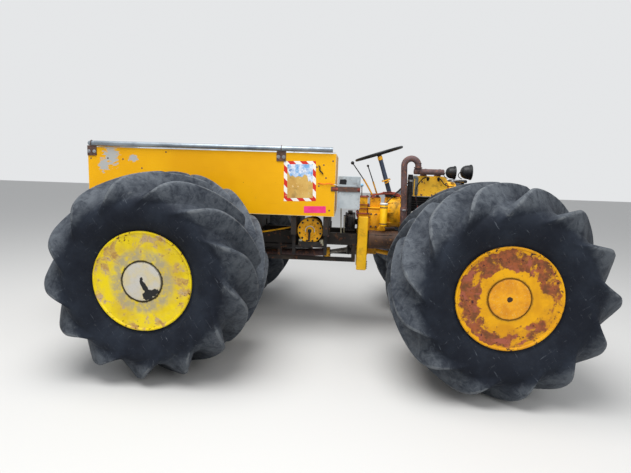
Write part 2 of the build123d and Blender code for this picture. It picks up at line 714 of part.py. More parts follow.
# Steering column from a gear on the bell housing, and the wheel at its top
column_axis = Vector(-sin(radians(column_tilt)), 0, cos(radians(column_tilt)))
column_radius = 22
column_foot = Vector(*column_base)
column_top = column_foot + column_axis * column_length
steer_box_length = 110
steer_box_half_width = 50
with BuildPart() as steering_column:
    with BuildSketch(Plane(origin=column_foot, z_dir=column_axis)):
        Circle(column_radius)
    extrude(amount=column_length)
    steer_box_bottom_z = crank_z + bell_radius
    with Locations((column_base[0], 0, steer_box_bottom_z + 25)):
        Box(steer_box_length, 2 * steer_box_half_width, 50)
steering_column.part.label = "steering_column"
export_step(steering_column.part, "parts/steering_column.step")

wheel_rim_radius = 13
wheel_rim_sides = 22
wheel_rim_chamfer = 7
spoke_width = 26
spoke_plate = 10
spoke_count = 3
wheel_hub_radius = 36
wheel_hub_height = 34
wheel_middle = column_top + column_axis * (1 + wheel_hub_height / 2)
wheel_plane = Plane(origin=wheel_middle, x_dir=(0, 1, 0), z_dir=column_axis)
with BuildPart(wheel_plane) as steering_wheel:
    with BuildSketch(wheel_plane.offset(-wheel_rim_radius)):
        RegularPolygon(steering_wheel_radius + wheel_rim_radius, wheel_rim_sides)
        RegularPolygon(steering_wheel_radius - wheel_rim_radius, wheel_rim_sides, mode=Mode.SUBTRACT)
    extrude(amount=2 * wheel_rim_radius)
    rim_edges = steering_wheel.edges().group_by(Axis(column_top, column_axis))
    chamfer(rim_edges[0] + rim_edges[-1], wheel_rim_chamfer)
    Cylinder(wheel_hub_radius, wheel_hub_height)
    with PolarLocations(steering_wheel_radius / 2, spoke_count):
        Box(steering_wheel_radius - 10, spoke_width, spoke_plate)
steering_wheel.part.label = "steering_wheel"
export_step(steering_wheel.part, "parts/steering_wheel.step")

# Two gear levers out of the shift tower, each in a boot.
# Columns: foot x, knob's place, rod radius, knob radius
lever_y = -40
boot_radius = 20
boot_height = 16
levers = (
    (568, (340, -110, 1800), 8, 18),
    (618, (500, -110, 1775), 8, 12),
)
with BuildPart() as gear_levers:
    for foot_x, knob_place, rod_radius, knob_radius in levers:
        lever_foot = Vector(foot_x, lever_y, tower_top_z + boot_height)
        lever_run = Vector(*knob_place) - lever_foot
        with BuildSketch(Plane.XY.offset(tower_top_z)):
            with Locations((foot_x, lever_y)):
                RegularPolygon(boot_radius, bar_sides)
        extrude(amount=boot_height)
        with BuildSketch(Plane(origin=lever_foot - lever_run.normalized() * rod_radius, z_dir=lever_run)):
            RegularPolygon(rod_radius, bar_sides)
        extrude(amount=lever_run.length + rod_radius)
        with BuildSketch(Plane(origin=knob_place, z_dir=lever_run)):
            RegularPolygon(knob_radius, bar_sides)
        extrude(amount=knob_radius, both=True)
gear_levers.part.label = "gear_levers"
export_step(gear_levers.part, "parts/gear_levers.step")

# Rear drive: joint and shaft out of the drop case, then the fixed tube round the shaft to the rear axle
collar_radius = 50
collar_length = 80
torque_tube_radius = 42
tube_front = Vector(140, 0, 840)
tube_rear = Vector(rear_axle_x + nose_length, 0, pinion_z)
tube_axis = (tube_rear - tube_front).normalized()
with BuildPart() as torque_tube:
    with BuildSketch(Plane(origin=tube_front, z_dir=tube_axis)):
        Circle(collar_radius)
    extrude(amount=collar_length)
    collar_rear = tube_front + tube_axis * collar_length
    tube_ends = ((collar_rear, tube_axis), (tube_rear, (-1, 0, 0)))
    add(ring_solid([ring_corners(place, out, torque_tube_radius, axle_sides) for place, out in tube_ends]))
torque_tube.part.label = "torque_tube"
export_step(torque_tube.part, "parts/torque_tube.step")

joint_length = 90
joint_radius = 52
joint_plate = 15
joint_half = 34
with BuildPart() as rear_shaft:
    with BuildSketch(Plane.YZ.offset(case_rear_x - joint_plate)):
        with Locations((0, lower_shaft_z)):
            Circle(joint_radius)
    extrude(amount=joint_plate)
    joint_rear_x = case_rear_x - joint_plate - joint_length
    with Locations((joint_rear_x + joint_length / 2, 0, lower_shaft_z)):
        Box(joint_length, 2 * joint_half, 2 * joint_half)
    shaft_ends = (((joint_rear_x, 0, lower_shaft_z), (-1, 0, 0)), (tube_front, tube_axis))
    add(ring_solid([ring_corners(place, out, prop_shaft_radius, bar_sides) for place, out in shaft_ends]))
rear_shaft.part.label = "rear_shaft"
export_step(rear_shaft.part, "parts/rear_shaft.step")

with BuildPart() as front_shaft:
    with BuildSketch(Plane.YZ.offset(case_front_x)):
        with Locations((0, lower_shaft_z)):
            Circle(joint_radius)
    extrude(amount=joint_plate)
    joint_front_x = case_front_x + joint_plate + joint_length
    with Locations((joint_front_x - joint_length / 2, 0, lower_shaft_z)):
        Box(joint_length, 2 * joint_half, 2 * joint_half)
    shaft_ends = ((joint_front_x, 0, lower_shaft_z), (front_axle_x - nose_length, 0, pinion_z))
    add(ring_solid([ring_corners(place, (1, 0, 0), prop_shaft_radius, bar_sides) for place in shaft_ends]))
front_shaft.part.label = "front_shaft"
export_step(front_shaft.part, "parts/front_shaft.step")

# Winch: a round gear case outside the right rail, on a pad between two posts, and the drum between the rails
post_width = 30
winch_post_y = -400
winch_post_depth = 40
winch_post_bottom_z = 870
strap_bottom_z = 946
strap_plate = 14
pad_top_z = winch_z - winch_case_radius - running_gap
pad_half_length = 108
pad_lip = 15
pad_lip_top_z = 1002
block_length = 80
block_top_z = winch_z + 35
winch_posts = (bearer_positions[4], bearer_positions[5])
with BuildPart() as winch_frame:
    post_height = rail_top_z - winch_post_bottom_z
    with Locations([(x, winch_post_y, winch_post_bottom_z + post_height / 2) for x in winch_posts]):
        Box(post_width, winch_post_depth, post_height)
    strap_outer_y = winch_post_y - winch_post_depth / 2
    strap_depth = -rail_outer_y - strap_outer_y
    strap_length = winch_posts[1] - winch_posts[0]
    strap_middle_x = (winch_posts[0] + winch_posts[1]) / 2
    with Locations((strap_middle_x, strap_outer_y + strap_depth / 2, strap_bottom_z + strap_plate / 2)):
        Box(strap_length, strap_depth, strap_plate)
    with Locations((winch_x, strap_outer_y + strap_depth / 2, (strap_bottom_z + pad_top_z) / 2)):
        Box(2 * pad_half_length, strap_depth, pad_top_z - strap_bottom_z)
    with Locations((winch_x, strap_outer_y + pad_lip / 2, (strap_bottom_z + pad_lip_top_z) / 2)):
        Box(2 * pad_half_length, pad_lip, pad_lip_top_z - strap_bottom_z)
    with Locations([(winch_x, side * under_y, (rail_top_z + block_top_z) / 2) for side_name, side in sides]):
        Box(block_length, rail_width, block_top_z - rail_top_z)
    with Locations([(winch_x, side * under_y, winch_z) for side_name, side in sides]):
        Cylinder(winch_shaft_radius + running_gap, 2 * rail_width, rotation=(90, 0, 0), mode=Mode.SUBTRACT)
winch_frame.part.label = "winch_frame"
export_step(winch_frame.part, "parts/winch_frame.step")

with BuildPart() as winch_case:
    with BuildSketch(Plane.XZ.offset(-winch_case_inner_y)):
        with Locations((winch_x, winch_z)):
            Circle(winch_case_radius)
    extrude(amount=winch_case_inner_y - winch_case_outer_y)
winch_case.part.label = "winch_case"
export_step(winch_case.part, "parts/winch_case.step")

drum_half_length = 180
drum_core_radius = 55
drum_flange_radius = 95
drum_flange_plate = 10
with BuildPart() as winch_drum:
    with BuildSketch(Plane.XZ.offset(-drum_half_length)):
        with Locations((winch_x, winch_z)):
            RegularPolygon(drum_core_radius, bar_sides)
    extrude(amount=2 * drum_half_length)
    flange_y = drum_half_length - drum_flange_plate / 2
    with Locations([(winch_x, side * flange_y, winch_z) for side_name, side in sides]):
        Cylinder(drum_flange_radius, drum_flange_plate, rotation=(90, 0, 0))
    with BuildSketch(Plane.XZ.offset(running_gap - rail_outer_y)):
        with Locations((winch_x, winch_z)):
            RegularPolygon(winch_shaft_radius, bar_sides)
    extrude(amount=2 * (rail_outer_y - running_gap))
winch_drum.part.label = "winch_drum"
export_step(winch_drum.part, "parts/winch_drum.step")

# Tool box beside the gearbox, its lid, and the iron band that bolts it to the bed's side
box_rear_x = 205
box_front_x = 420
box_outer_y = -bed_half_width
box_inner_y = -280
box_bottom_z = 1355
box_rim_z = 1560
lid_top_z = 1660
box_wall = 3
box_middle_x = (box_rear_x + box_front_x) / 2
box_middle_y = (box_outer_y + box_inner_y) / 2
with BuildPart() as tool_box:
    with Locations((box_middle_x, box_middle_y, (box_bottom_z + box_rim_z) / 2)):
        Box(box_front_x - box_rear_x, box_inner_y - box_outer_y, box_rim_z - box_bottom_z)
    offset(amount=-box_wall, openings=tool_box.faces().sort_by(Axis.Z)[-1])
tool_box.part.label = "tool_box"
export_step(tool_box.part, "parts/tool_box.step")

with BuildPart() as tool_box_lid:
    with Locations((box_middle_x, box_middle_y, (box_rim_z + lid_top_z) / 2)):
        Box(box_front_x - box_rear_x, box_inner_y - box_outer_y, lid_top_z - box_rim_z)
    offset(amount=-box_wall, openings=tool_box_lid.faces().sort_by(Axis.Z)[0])
tool_box_lid.part.label = "tool_box_lid"
export_step(tool_box_lid.part, "parts/tool_box_lid.step")

band_rear_x = 140
band_bottom_z = 1516
band_plate = 8
with BuildPart() as tool_box_band:
    band_middle_z = (band_bottom_z + box_rim_z) / 2
    with Locations(((band_rear_x + box_front_x) / 2, box_outer_y - band_plate / 2, band_middle_z)):
        Box(box_front_x - band_rear_x, band_plate, box_rim_z - band_bottom_z)
    with Locations(((bed_front_x + box_rear_x) / 2, (box_outer_y + box_inner_y) / 2, band_middle_z)):
        Box(box_rear_x - bed_front_x, box_inner_y - box_outer_y, box_rim_z - band_bottom_z)
tool_box_band.part.label = "tool_box_band"
export_step(tool_box_band.part, "parts/tool_box_band.step")
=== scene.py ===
import bpy
from math import cos, degrees, hypot, radians, sin, tan
from mathutils import Matrix, Vector


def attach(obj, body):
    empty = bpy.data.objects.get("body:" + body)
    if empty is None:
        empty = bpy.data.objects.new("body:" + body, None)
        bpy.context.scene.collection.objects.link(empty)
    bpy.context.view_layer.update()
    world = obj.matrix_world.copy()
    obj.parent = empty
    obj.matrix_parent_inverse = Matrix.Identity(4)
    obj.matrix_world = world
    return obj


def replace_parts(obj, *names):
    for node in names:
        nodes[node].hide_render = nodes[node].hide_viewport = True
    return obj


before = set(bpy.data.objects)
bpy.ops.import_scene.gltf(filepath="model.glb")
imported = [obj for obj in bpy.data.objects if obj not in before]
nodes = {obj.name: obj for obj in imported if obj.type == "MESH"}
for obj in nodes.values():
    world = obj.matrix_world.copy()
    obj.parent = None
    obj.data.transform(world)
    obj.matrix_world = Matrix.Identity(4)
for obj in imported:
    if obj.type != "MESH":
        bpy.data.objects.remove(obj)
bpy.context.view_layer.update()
print("frame loaded:", len(nodes), "nodes")

# Lengths are in metres, +X is forward and +Y is the machine's left
forward, backward, leftward, rightward, upward = (1, 0, 0), (-1, 0, 0), (0, 1, 0), (0, -1, 0), (0, 0, 1)
sides = {"right": -1, "left": 1}
wheelPlace = {"rear": -1.22, "front": 1.484, "across": 1.145, "height": 0.83}


def seen(red, green, blue):  # a colour as it looks, 0 to 255, as linear values
    def linear(value):
        value = value / 255
        return value / 12.92 if value <= 0.04045 else ((value + 0.055) / 1.055) ** 2.4
    return (linear(red), linear(green), linear(blue), 1)


def startMaterial(name, roughness, metallic=0.0, coat=0.0, shine=0.3):
    material = bpy.data.materials.new(name)
    material.use_nodes = True
    shader = material.node_tree.nodes["Principled BSDF"]
    shader.inputs["Roughness"].default_value = roughness
    shader.inputs["Metallic"].default_value = metallic
    shader.inputs["Coat Weight"].default_value = coat
    shader.inputs["Specular IOR Level"].default_value = shine
    return material, material.node_tree, shader


def addNode(tree, kind, sockets, **settings):
    made = tree.nodes.new("ShaderNode" + kind)
    for key, value in settings.items():
        setattr(made, key, value)
    for socket, value in sockets.items():
        if isinstance(value, bpy.types.NodeSocket):
            tree.links.new(value, made.inputs[socket])
        else:
            made.inputs[socket].default_value = value
    return made


def spotOn(tree, centre=(0, 0, 0), stretch=(1, 1, 1)):  # place on the object, from a centre, stretched
    spot = addNode(tree, "TexCoord", {}).outputs["Object"]
    moved = addNode(tree, "VectorMath", {0: spot, 1: centre}, operation="SUBTRACT").outputs[0]
    return addNode(tree, "VectorMath", {0: moved, 1: stretch}, operation="MULTIPLY").outputs[0]


def turned(tree, spot, lean, stretch):  # a place turned about Y by degrees, then stretched
    leant = addNode(tree, "VectorRotate", {"Vector": spot, "Angle": radians(lean)}, rotation_type="Y_AXIS")
    return addNode(tree, "VectorMath", {0: leant.outputs[0], 1: stretch}, operation="MULTIPLY").outputs[0]


def lengthOf(tree, spot):
    return addNode(tree, "VectorMath", {0: spot}, operation="LENGTH").outputs["Value"]


def axesOf(tree, spot):
    return addNode(tree, "SeparateXYZ", {0: spot}).outputs


def noiseOn(tree, spot, scale, detail=4.0, rough=0.6, distortion=0.0):
    sockets = {"Vector": spot, "Scale": scale, "Detail": detail, "Roughness": rough, "Distortion": distortion}
    return addNode(tree, "TexNoise", sockets).outputs["Fac"]


def band(tree, value, low, high):  # 0 below low, 1 above high; low may be above high
    sockets = {"Value": value, "From Min": low, "From Max": high}
    return addNode(tree, "MapRange", sockets, interpolation_type="SMOOTHSTEP").outputs["Result"]


def maths(tree, operation, first, second=0.0):
    return addNode(tree, "Math", {0: first, 1: second}, operation=operation).outputs[0]


def plus(tree, first, second):
    return maths(tree, "ADD", first, second)


def times(tree, first, second):
    return maths(tree, "MULTIPLY", first, second)


def ragged(tree, value, noise, size, middle=0.5):  # a value pushed to and fro by a noise
    return plus(tree, value, times(tree, maths(tree, "SUBTRACT", noise, middle), size))


def blendColour(tree, share, first, second):  # a colour of three numbers is one as it looks
    first, second = (seen(*value) if isinstance(value, tuple) and len(value) == 3 else value
                     for value in (first, second))
    return addNode(tree, "Mix", {0: share, 6: first, 7: second}, data_type="RGBA").outputs[2]


def lay(tree, colour, over, mask, amount=1.0):  # a colour with another over it where the mask is high
    return blendColour(tree, times(tree, mask, amount), colour, over)


def wire(tree, shader, colour, roughness, height, depth, strength=1.0):  # links a finish to its shader
    tree.links.new(colour, shader.inputs["Base Color"])
    if roughness:
        tree.links.new(roughness, shader.inputs["Roughness"])
    bump = addNode(tree, "Bump", {"Height": height, "Distance": depth, "Strength": strength})
    tree.links.new(bump.outputs["Normal"], shader.inputs["Normal"])


# Paint or bare metal: broad shading, chips down to what is under, grime, fine bumps
wornLook = dict(under=(70, 60, 52), chipScale=30, chipEdge=0.66, broadScale=9, grimeScale=12, grimeEdge=0.52,
                grime=0.5, grimeColour=(70, 64, 58), roughness=0.5, metallic=0.0, bump=0.3, bumpDepth=0.0006)
wornLooks = {  # what differs from the plain look, for each finish
    "framePaint": dict(colour=(44, 38, 34), shade=(30, 26, 24), under=(96, 62, 44), chipScale=14,
                       chipEdge=0.58, broadScale=3, grimeScale=5, grimeEdge=0.5, grime=0.6,
                       grimeColour=(84, 72, 60), roughness=0.62, bump=0.5, bumpDepth=0.002),
    "bracketSteel": dict(colour=(96, 74, 66), shade=(70, 52, 46), under=(126, 84, 58), chipEdge=0.56,
                         broadScale=8, grimeEdge=0.5, grimeColour=(48, 40, 38), roughness=0.7, bump=0.6,
                         bumpDepth=0.001),
    "pipeSteel": dict(colour=(158, 168, 176), shade=(126, 134, 142), under=(104, 92, 82), chipScale=26,
                      broadScale=7, grimeScale=9, grimeEdge=0.55, grimeColour=(98, 92, 88), roughness=0.42,
                      metallic=0.65),
    "axlePaint": dict(colour=(52, 44, 38), shade=(34, 29, 26), under=(104, 68, 46), chipScale=16,
                      chipEdge=0.57, broadScale=4, grimeScale=5, grimeEdge=0.45, grime=0.7,
                      grimeColour=(76, 66, 56), roughness=0.66, bump=0.6, bumpDepth=0.002),
    "gearPaint": dict(colour=(246, 182, 22), shade=(222, 152, 14), under=(96, 66, 34), chipScale=24,
                      chipEdge=0.62, broadScale=6, grimeScale=7, grimeEdge=0.5, grime=0.85,
                      grimeColour=(70, 48, 24), roughness=0.42, bump=0.25, bumpDepth=0.0012),
    "darkIron": dict(colour=(34, 32, 32), shade=(22, 21, 22), under=(82, 62, 48), chipScale=18, chipEdge=0.6,
                     broadScale=6, grimeScale=8, grimeEdge=0.48, grime=0.6, grimeColour=(66, 58, 50),
                     bump=0.6, bumpDepth=0.002),
    "shroudPaint": dict(colour=(252, 198, 52), shade=(244, 180, 38), under=(120, 84, 44), chipEdge=0.61,
                        broadScale=5, grimeScale=9, grime=0.7, grimeColour=(96, 72, 40), roughness=0.4,
                        bump=0.25, bumpDepth=0.001),
    "rustySteel": dict(colour=(100, 80, 80), shade=(76, 58, 56), under=(134, 92, 74), chipScale=34,
                       chipEdge=0.55, broadScale=7, grimeEdge=0.5, grime=0.6, grimeColour=(52, 40, 38),
                       roughness=0.8, bump=0.8, bumpDepth=0.0014),
    "blackPaint": dict(colour=(30, 31, 34), shade=(20, 21, 23), under=(74, 58, 48), chipScale=34,
                       chipEdge=0.64, grimeColour=(62, 60, 58), roughness=0.4),
    "shaftSteel": dict(colour=(128, 124, 118), shade=(92, 86, 80), under=(88, 60, 44), chipScale=26,
                       chipEdge=0.6, grimeScale=10, grimeEdge=0.45, grime=0.8, grimeColour=(44, 38, 34),
                       roughness=0.38, metallic=0.8, bump=0.4, bumpDepth=0.0008),
    "boxPaint": dict(colour=(186, 192, 194), shade=(158, 166, 170), under=(112, 92, 78), chipEdge=0.64,
                     broadScale=6, grimeScale=9, grimeEdge=0.5, grime=0.6, grimeColour=(112, 104, 96),
                     roughness=0.48, metallic=0.15, bump=0.25, bumpDepth=0.0008),
    "casePaint": dict(colour=(255, 198, 26), shade=(250, 184, 18), under=(120, 78, 30), chipEdge=0.68,
                      grime=0.35, grimeColour=(120, 84, 26), roughness=0.4),
    "brownPipe": dict(colour=(92, 66, 50), shade=(58, 42, 34), under=(132, 92, 54), chipEdge=0.58,
                      broadScale=5, roughness=0.6, grimeColour=(34, 28, 26), grime=0.8, bump=0.6,
                      bumpDepth=0.0015),
    "redRust": dict(colour=(150, 66, 52), shade=(106, 52, 42), under=(172, 98, 70), chipEdge=0.56,
                    roughness=0.75),
    "brightSteel": dict(colour=(190, 192, 194), shade=(150, 152, 156), metallic=0.75, roughness=0.34),
    "paleIron": dict(colour=(172, 166, 142), shade=(140, 134, 112), grime=0.8),
    "columnPaint": dict(colour=(58, 68, 86), shade=(40, 48, 64)),
    "greyCowl": dict(colour=(120, 124, 122), shade=(92, 96, 94)),
    "hoseRubber": dict(colour=(26, 26, 28), shade=(38, 38, 40), roughness=0.6),
    "redCable": dict(colour=(150, 62, 48), shade=(112, 48, 42)),
    "orangeWire": dict(colour=(236, 92, 40), shade=(206, 70, 34), grime=0.2),
    "whitePlastic": dict(colour=(226, 226, 220), shade=(200, 200, 192), grime=0.3),
    "bluePlastic": dict(colour=(150, 196, 226), shade=(120, 168, 206), grime=0.3),
    "pinkTape": dict(colour=(244, 62, 132), shade=(226, 52, 118), chipEdge=0.72, grime=0.25,
                     grimeColour=(150, 60, 70)),
    "oldPaper": dict(colour=(222, 226, 234), shade=(120, 170, 218), broadScale=26, under=(70, 124, 190),
                     chipEdge=0.58, grime=0.3, roughness=0.7),
    "oldGlue": dict(colour=(214, 176, 98), shade=(196, 152, 76), under=(228, 204, 150), chipEdge=0.6,
                    grime=0.4, roughness=0.8),
}


def wornFinish(name, look):
    material, tree, shader = startMaterial(name, look["roughness"], look["metallic"])
    spot = spotOn(tree)
    broad = band(tree, noiseOn(tree, spot, look["broadScale"], 3.0), 0.35, 0.68)
    fine = noiseOn(tree, spot, look["chipScale"], 9.0, 0.72)
    chips = band(tree, fine, look["chipEdge"], look["chipEdge"] + 0.03)
    stain = noiseOn(tree, spot, look["grimeScale"], 6.0, 0.65, 0.4)
    grime = band(tree, stain, look["grimeEdge"], look["grimeEdge"] + 0.22)
    colour = blendColour(tree, broad, look["colour"], look["shade"])
    colour = lay(tree, colour, look["under"], chips)
    colour = lay(tree, colour, look["grimeColour"], grime, look["grime"])
    roughness = plus(tree, times(tree, fine, 0.3), look["roughness"] - 0.15)
    roughness = plus(tree, roughness, times(tree, chips, 0.2))
    height = maths(tree, "SUBTRACT", times(tree, fine, look["bump"]), times(tree, chips, 0.4))
    wire(tree, shader, colour, roughness, height, look["bumpDepth"])
    return material


finishes = {name: wornFinish(name, {**wornLook, **look}) for name, look in wornLooks.items()}

borderLook = {"stripes": 8.0, "red": (208, 44, 34), "white": (238, 236, 228), "worn": (222, 196, 140)}


def borderFinish(look):  # stripes that lean, on a sticker's border
    material, tree, shader = startMaterial("stripedBorder", 0.45)
    spot = spotOn(tree)
    axes = axesOf(tree, spot)
    wave = maths(tree, "FRACT", times(tree, plus(tree, axes[0], axes[2]), look["stripes"]))
    wear = noiseOn(tree, spot, 30.0, 8.0, 0.7)
    colour = blendColour(tree, band(tree, wave, 0.48, 0.52), look["red"], look["white"])
    colour = lay(tree, colour, look["worn"], band(tree, wear, 0.6, 0.66), 0.8)
    wire(tree, shader, colour, None, wear, 0.0006, 0.5)
    return material


glassLook = {"ribs": 640.0, "clean": (196, 202, 206), "dusty": (150, 152, 148)}


def glassFinish(look):  # ribbed lamp glass
    material, tree, shader = startMaterial("lampGlass", 0.12, coat=0.6)
    spot = spotOn(tree)
    ribs = maths(tree, "SINE", times(tree, axesOf(tree, spot)[1], look["ribs"]))
    dust = noiseOn(tree, spot, 26.0, 6.0, 0.7)
    colour = blendColour(tree, band(tree, dust, 0.4, 0.7), look["clean"], look["dusty"])
    wire(tree, shader, colour, None, ribs, 0.002, 0.6)
    return material


bedLook = {
    "paint": (238, 176, 8), "shade": (228, 163, 4), "grain": (205, 142, 6), "rubbed": (196, 148, 60),
    "speck": (70, 52, 30), "bare": (222, 206, 160), "scraped": (176, 176, 172),
    # the plywood's bare edges, from the last paint to where all is bare
    "top": (1.866, 1.8695), "bottom": (1.2745, 1.2712), "front": (0.1755, 0.1795), "rear": (-2.2555, -2.2595),
    "sidePanels": (0.4995, 0.5015),
    # scraped patches near the rear of the right side: centre and half size
    "patches": (((-2.02, -0.52, 1.8), (0.075, 0.2, 0.11)), ((-2.1, -0.52, 1.7), (0.05, 0.2, 0.07)),
                ((-1.8, -0.52, 1.77), (0.05, 0.2, 0.035))),
}


def bedFinish(look):  # golden paint on plywood, pale where the sheets' edges are bare
    material, tree, shader = startMaterial("bedPaint", 0.38, coat=0.05, shine=0.2)
    spot = spotOn(tree)
    broad = noiseOn(tree, spot, 1.6, 3.0)
    grain = noiseOn(tree, spotOn(tree, stretch=(1.5, 1.5, 26)), 3.0, 5.0)
    rub = noiseOn(tree, spotOn(tree, stretch=(3, 3, 9)), 6.0, 8.0, 0.7, 0.6)
    colour = blendColour(tree, band(tree, broad, 0.3, 0.7), look["paint"], look["shade"])
    colour = lay(tree, colour, look["grain"], band(tree, grain, 0.55, 0.8), 0.22)
    colour = lay(tree, colour, look["rubbed"], band(tree, rub, 0.62, 0.7), 0.5)
    colour = lay(tree, colour, look["speck"], band(tree, noiseOn(tree, spot, 55.0, 2.0), 0.78, 0.8))
    x, y, z = axesOf(tree, spot)
    edges = maths(tree, "MAXIMUM", band(tree, z, *look["top"]), band(tree, z, *look["bottom"]))
    ends = maths(tree, "MAXIMUM", band(tree, x, *look["front"]), band(tree, x, *look["rear"]))
    ends = times(tree, ends, band(tree, maths(tree, "ABSOLUTE", y), *look["sidePanels"]))
    bare = maths(tree, "MAXIMUM", edges, ends)
    colour = lay(tree, colour, look["bare"], times(tree, bare, band(tree, rub, 0.3, 0.5)))
    for centre, half in look["patches"]:
        reach = lengthOf(tree, spotOn(tree, centre, [1 / size for size in half]))
        colour = lay(tree, colour, look["scraped"], band(tree, ragged(tree, reach, rub, 3.2), 1.0, 0.85))
    height = plus(tree, times(tree, grain, 0.6), rub)
    wire(tree, shader, colour, plus(tree, times(tree, rub, 0.35), 0.24), height, 0.0008, 0.6)
    return material


def wheelMiddle(end):  # the wheels' axis at an end of the machine, in the plane of the discs
    return (wheelPlace[end], 0, wheelPlace["height"])


rimLooks = {  # radii in metres from the wheel's axis, the edges on a scale from 0 to 1
    # gapShade is the share of painted shade in the gap round the cap
    "rear": dict(paint=(230, 204, 18), shade=(204, 172, 24), cloudScale=6.5, rustFrom=0.17, rustTo=0.4,
                 rustEdge=0.5, rust=(190, 156, 92), rustDark=(156, 108, 76), rose=(176, 150, 128),
                 rustShare=0.8, stain=(206, 178, 84), stainShare=0.5, ringTo=0.275, ring=0.95,
                 ringColour=(166, 154, 124), fleckPull=0.5, fleckEdge=0.97, fleckScale=24, fleckRim=0.1,
                 fleck=(92, 44, 28), gapShade=0.9),
    "front": dict(paint=(228, 166, 10), shade=(204, 140, 14), cloudScale=4.6, rustFrom=0.185, rustTo=0.385,
                  rustEdge=0.455, rust=(146, 72, 52), rustDark=(84, 48, 44), rose=(150, 76, 70),
                  rustShare=0.86, stain=(184, 124, 26), stainShare=0.8, ringTo=0.19, ring=0.45,
                  ringColour=(168, 124, 34), fleckPull=0.5, fleckEdge=0.9, fleckScale=30, fleckRim=0.06,
                  fleck=(70, 42, 38), gapShade=0.5),
}


def rimFinish(end, look):  # a painted disc, rusted between two radii, with a dirty ring round the cap
    material, tree, shader = startMaterial(end + "Rim", 0.45, coat=0.04, shine=0.2)
    spot = spotOn(tree)
    radius = lengthOf(tree, spotOn(tree, wheelMiddle(end), (1, 0, 1)))
    broad = noiseOn(tree, spot, 5.0, 4.0)
    cloud = noiseOn(tree, spot, look["cloudScale"], 7.0, 0.62, 0.5)
    tone = noiseOn(tree, spot, 17.0, 6.0, 0.7)
    fine = noiseOn(tree, spot, look["fleckScale"], 7.0, 0.75)
    colour = blendColour(tree, band(tree, broad, 0.35, 0.7), look["paint"], look["shade"])
    # rust patches in a ragged ring, with a stain round them
    reach = ragged(tree, radius, noiseOn(tree, spot, 11.0, 7.0), 0.16)
    inside = band(tree, reach, look["rustFrom"], look["rustFrom"] + 0.05)
    outside = band(tree, reach, look["rustTo"], look["rustTo"] - 0.035)
    level = ragged(tree, cloud, times(tree, inside, outside), 0.5, 1.0)
    stain = band(tree, level, look["rustEdge"] - 0.09, look["rustEdge"] + 0.07)
    colour = lay(tree, colour, look["stain"], stain, look["stainShare"])
    specked = ragged(tree, level, noiseOn(tree, spot, 44.0, 6.0, 0.75), 0.3)
    rust = band(tree, specked, look["rustEdge"], look["rustEdge"] + 0.06)
    rose = band(tree, noiseOn(tree, spot, 7.0, 5.0, 0.6, 0.8), 0.52, 0.6)
    rustColour = blendColour(tree, band(tree, tone, 0.38, 0.6), look["rustDark"], look["rust"])
    rustColour = lay(tree, rustColour, look["rose"], rose)
    colour = lay(tree, colour, rustColour, rust, look["rustShare"])
    # the dirty ring, dark flecks, and painted shade in the gap round the cap
    ring = times(tree, band(tree, radius, look["ringTo"], look["ringTo"] - 0.06), look["ring"])
    colour = lay(tree, colour, look["ringColour"], times(tree, ring, band(tree, tone, 0.3, 0.6)))
    pull = plus(tree, times(tree, tone, look["fleckPull"]),
                times(tree, band(tree, radius, 0.22, 0.34), look["fleckRim"]))
    flecks = band(tree, plus(tree, fine, pull), look["fleckEdge"], look["fleckEdge"] + 0.03)
    colour = lay(tree, colour, look["fleck"], flecks)
    # painted shade: a dark ring where the gap round the cap lies in shadow
    gapShade = band(tree, ragged(tree, radius, fine, 0.03), 0.167, 0.16)
    colour = lay(tree, colour, (36, 31, 26), gapShade, look["gapShade"])
    roughness = plus(tree, 0.34, times(tree, maths(tree, "MAXIMUM", rust, ring), 0.4))
    height = plus(tree, times(tree, fine, 0.4), times(tree, flecks, -0.6))
    wire(tree, shader, colour, roughness, height, 0.001, 0.8)
    return material


capLooks = {
    # edge is the colour of the painted shade on the cap's edge, by the gap round it
    "rear": dict(paint=(196, 192, 184), shade=(206, 192, 150), scratch=(150, 142, 124), scratchShare=0.25,
                 ray=(120, 112, 96), rayShare=0.3, edge=(70, 64, 52), metallic=0.1, patch=(34, 34, 33),
                 # middle, half size and lean of each torn patch
                 patches=(((-1.196, -1.64, 0.786), (0.02, 1, 0.072), 30),
                          ((-1.145, -1.64, 0.742), (0.064, 1, 0.03), 24),
                          ((-1.172, -1.64, 0.722), (0.044, 1, 0.034), 0),
                          ((-1.222, -1.64, 0.85), (0.013, 1, 0.016), 0))),
    "front": dict(paint=(230, 158, 8), shade=(206, 132, 10), scratch=(238, 196, 90), scratchShare=0.22,
                  ray=(214, 196, 130), rayShare=0.8, edge=(92, 60, 26), metallic=0.0, patch=(52, 36, 26),
                  patches=(((1.484, -1.64, 0.83), (0.02, 1, 0.02), 0),)),
}


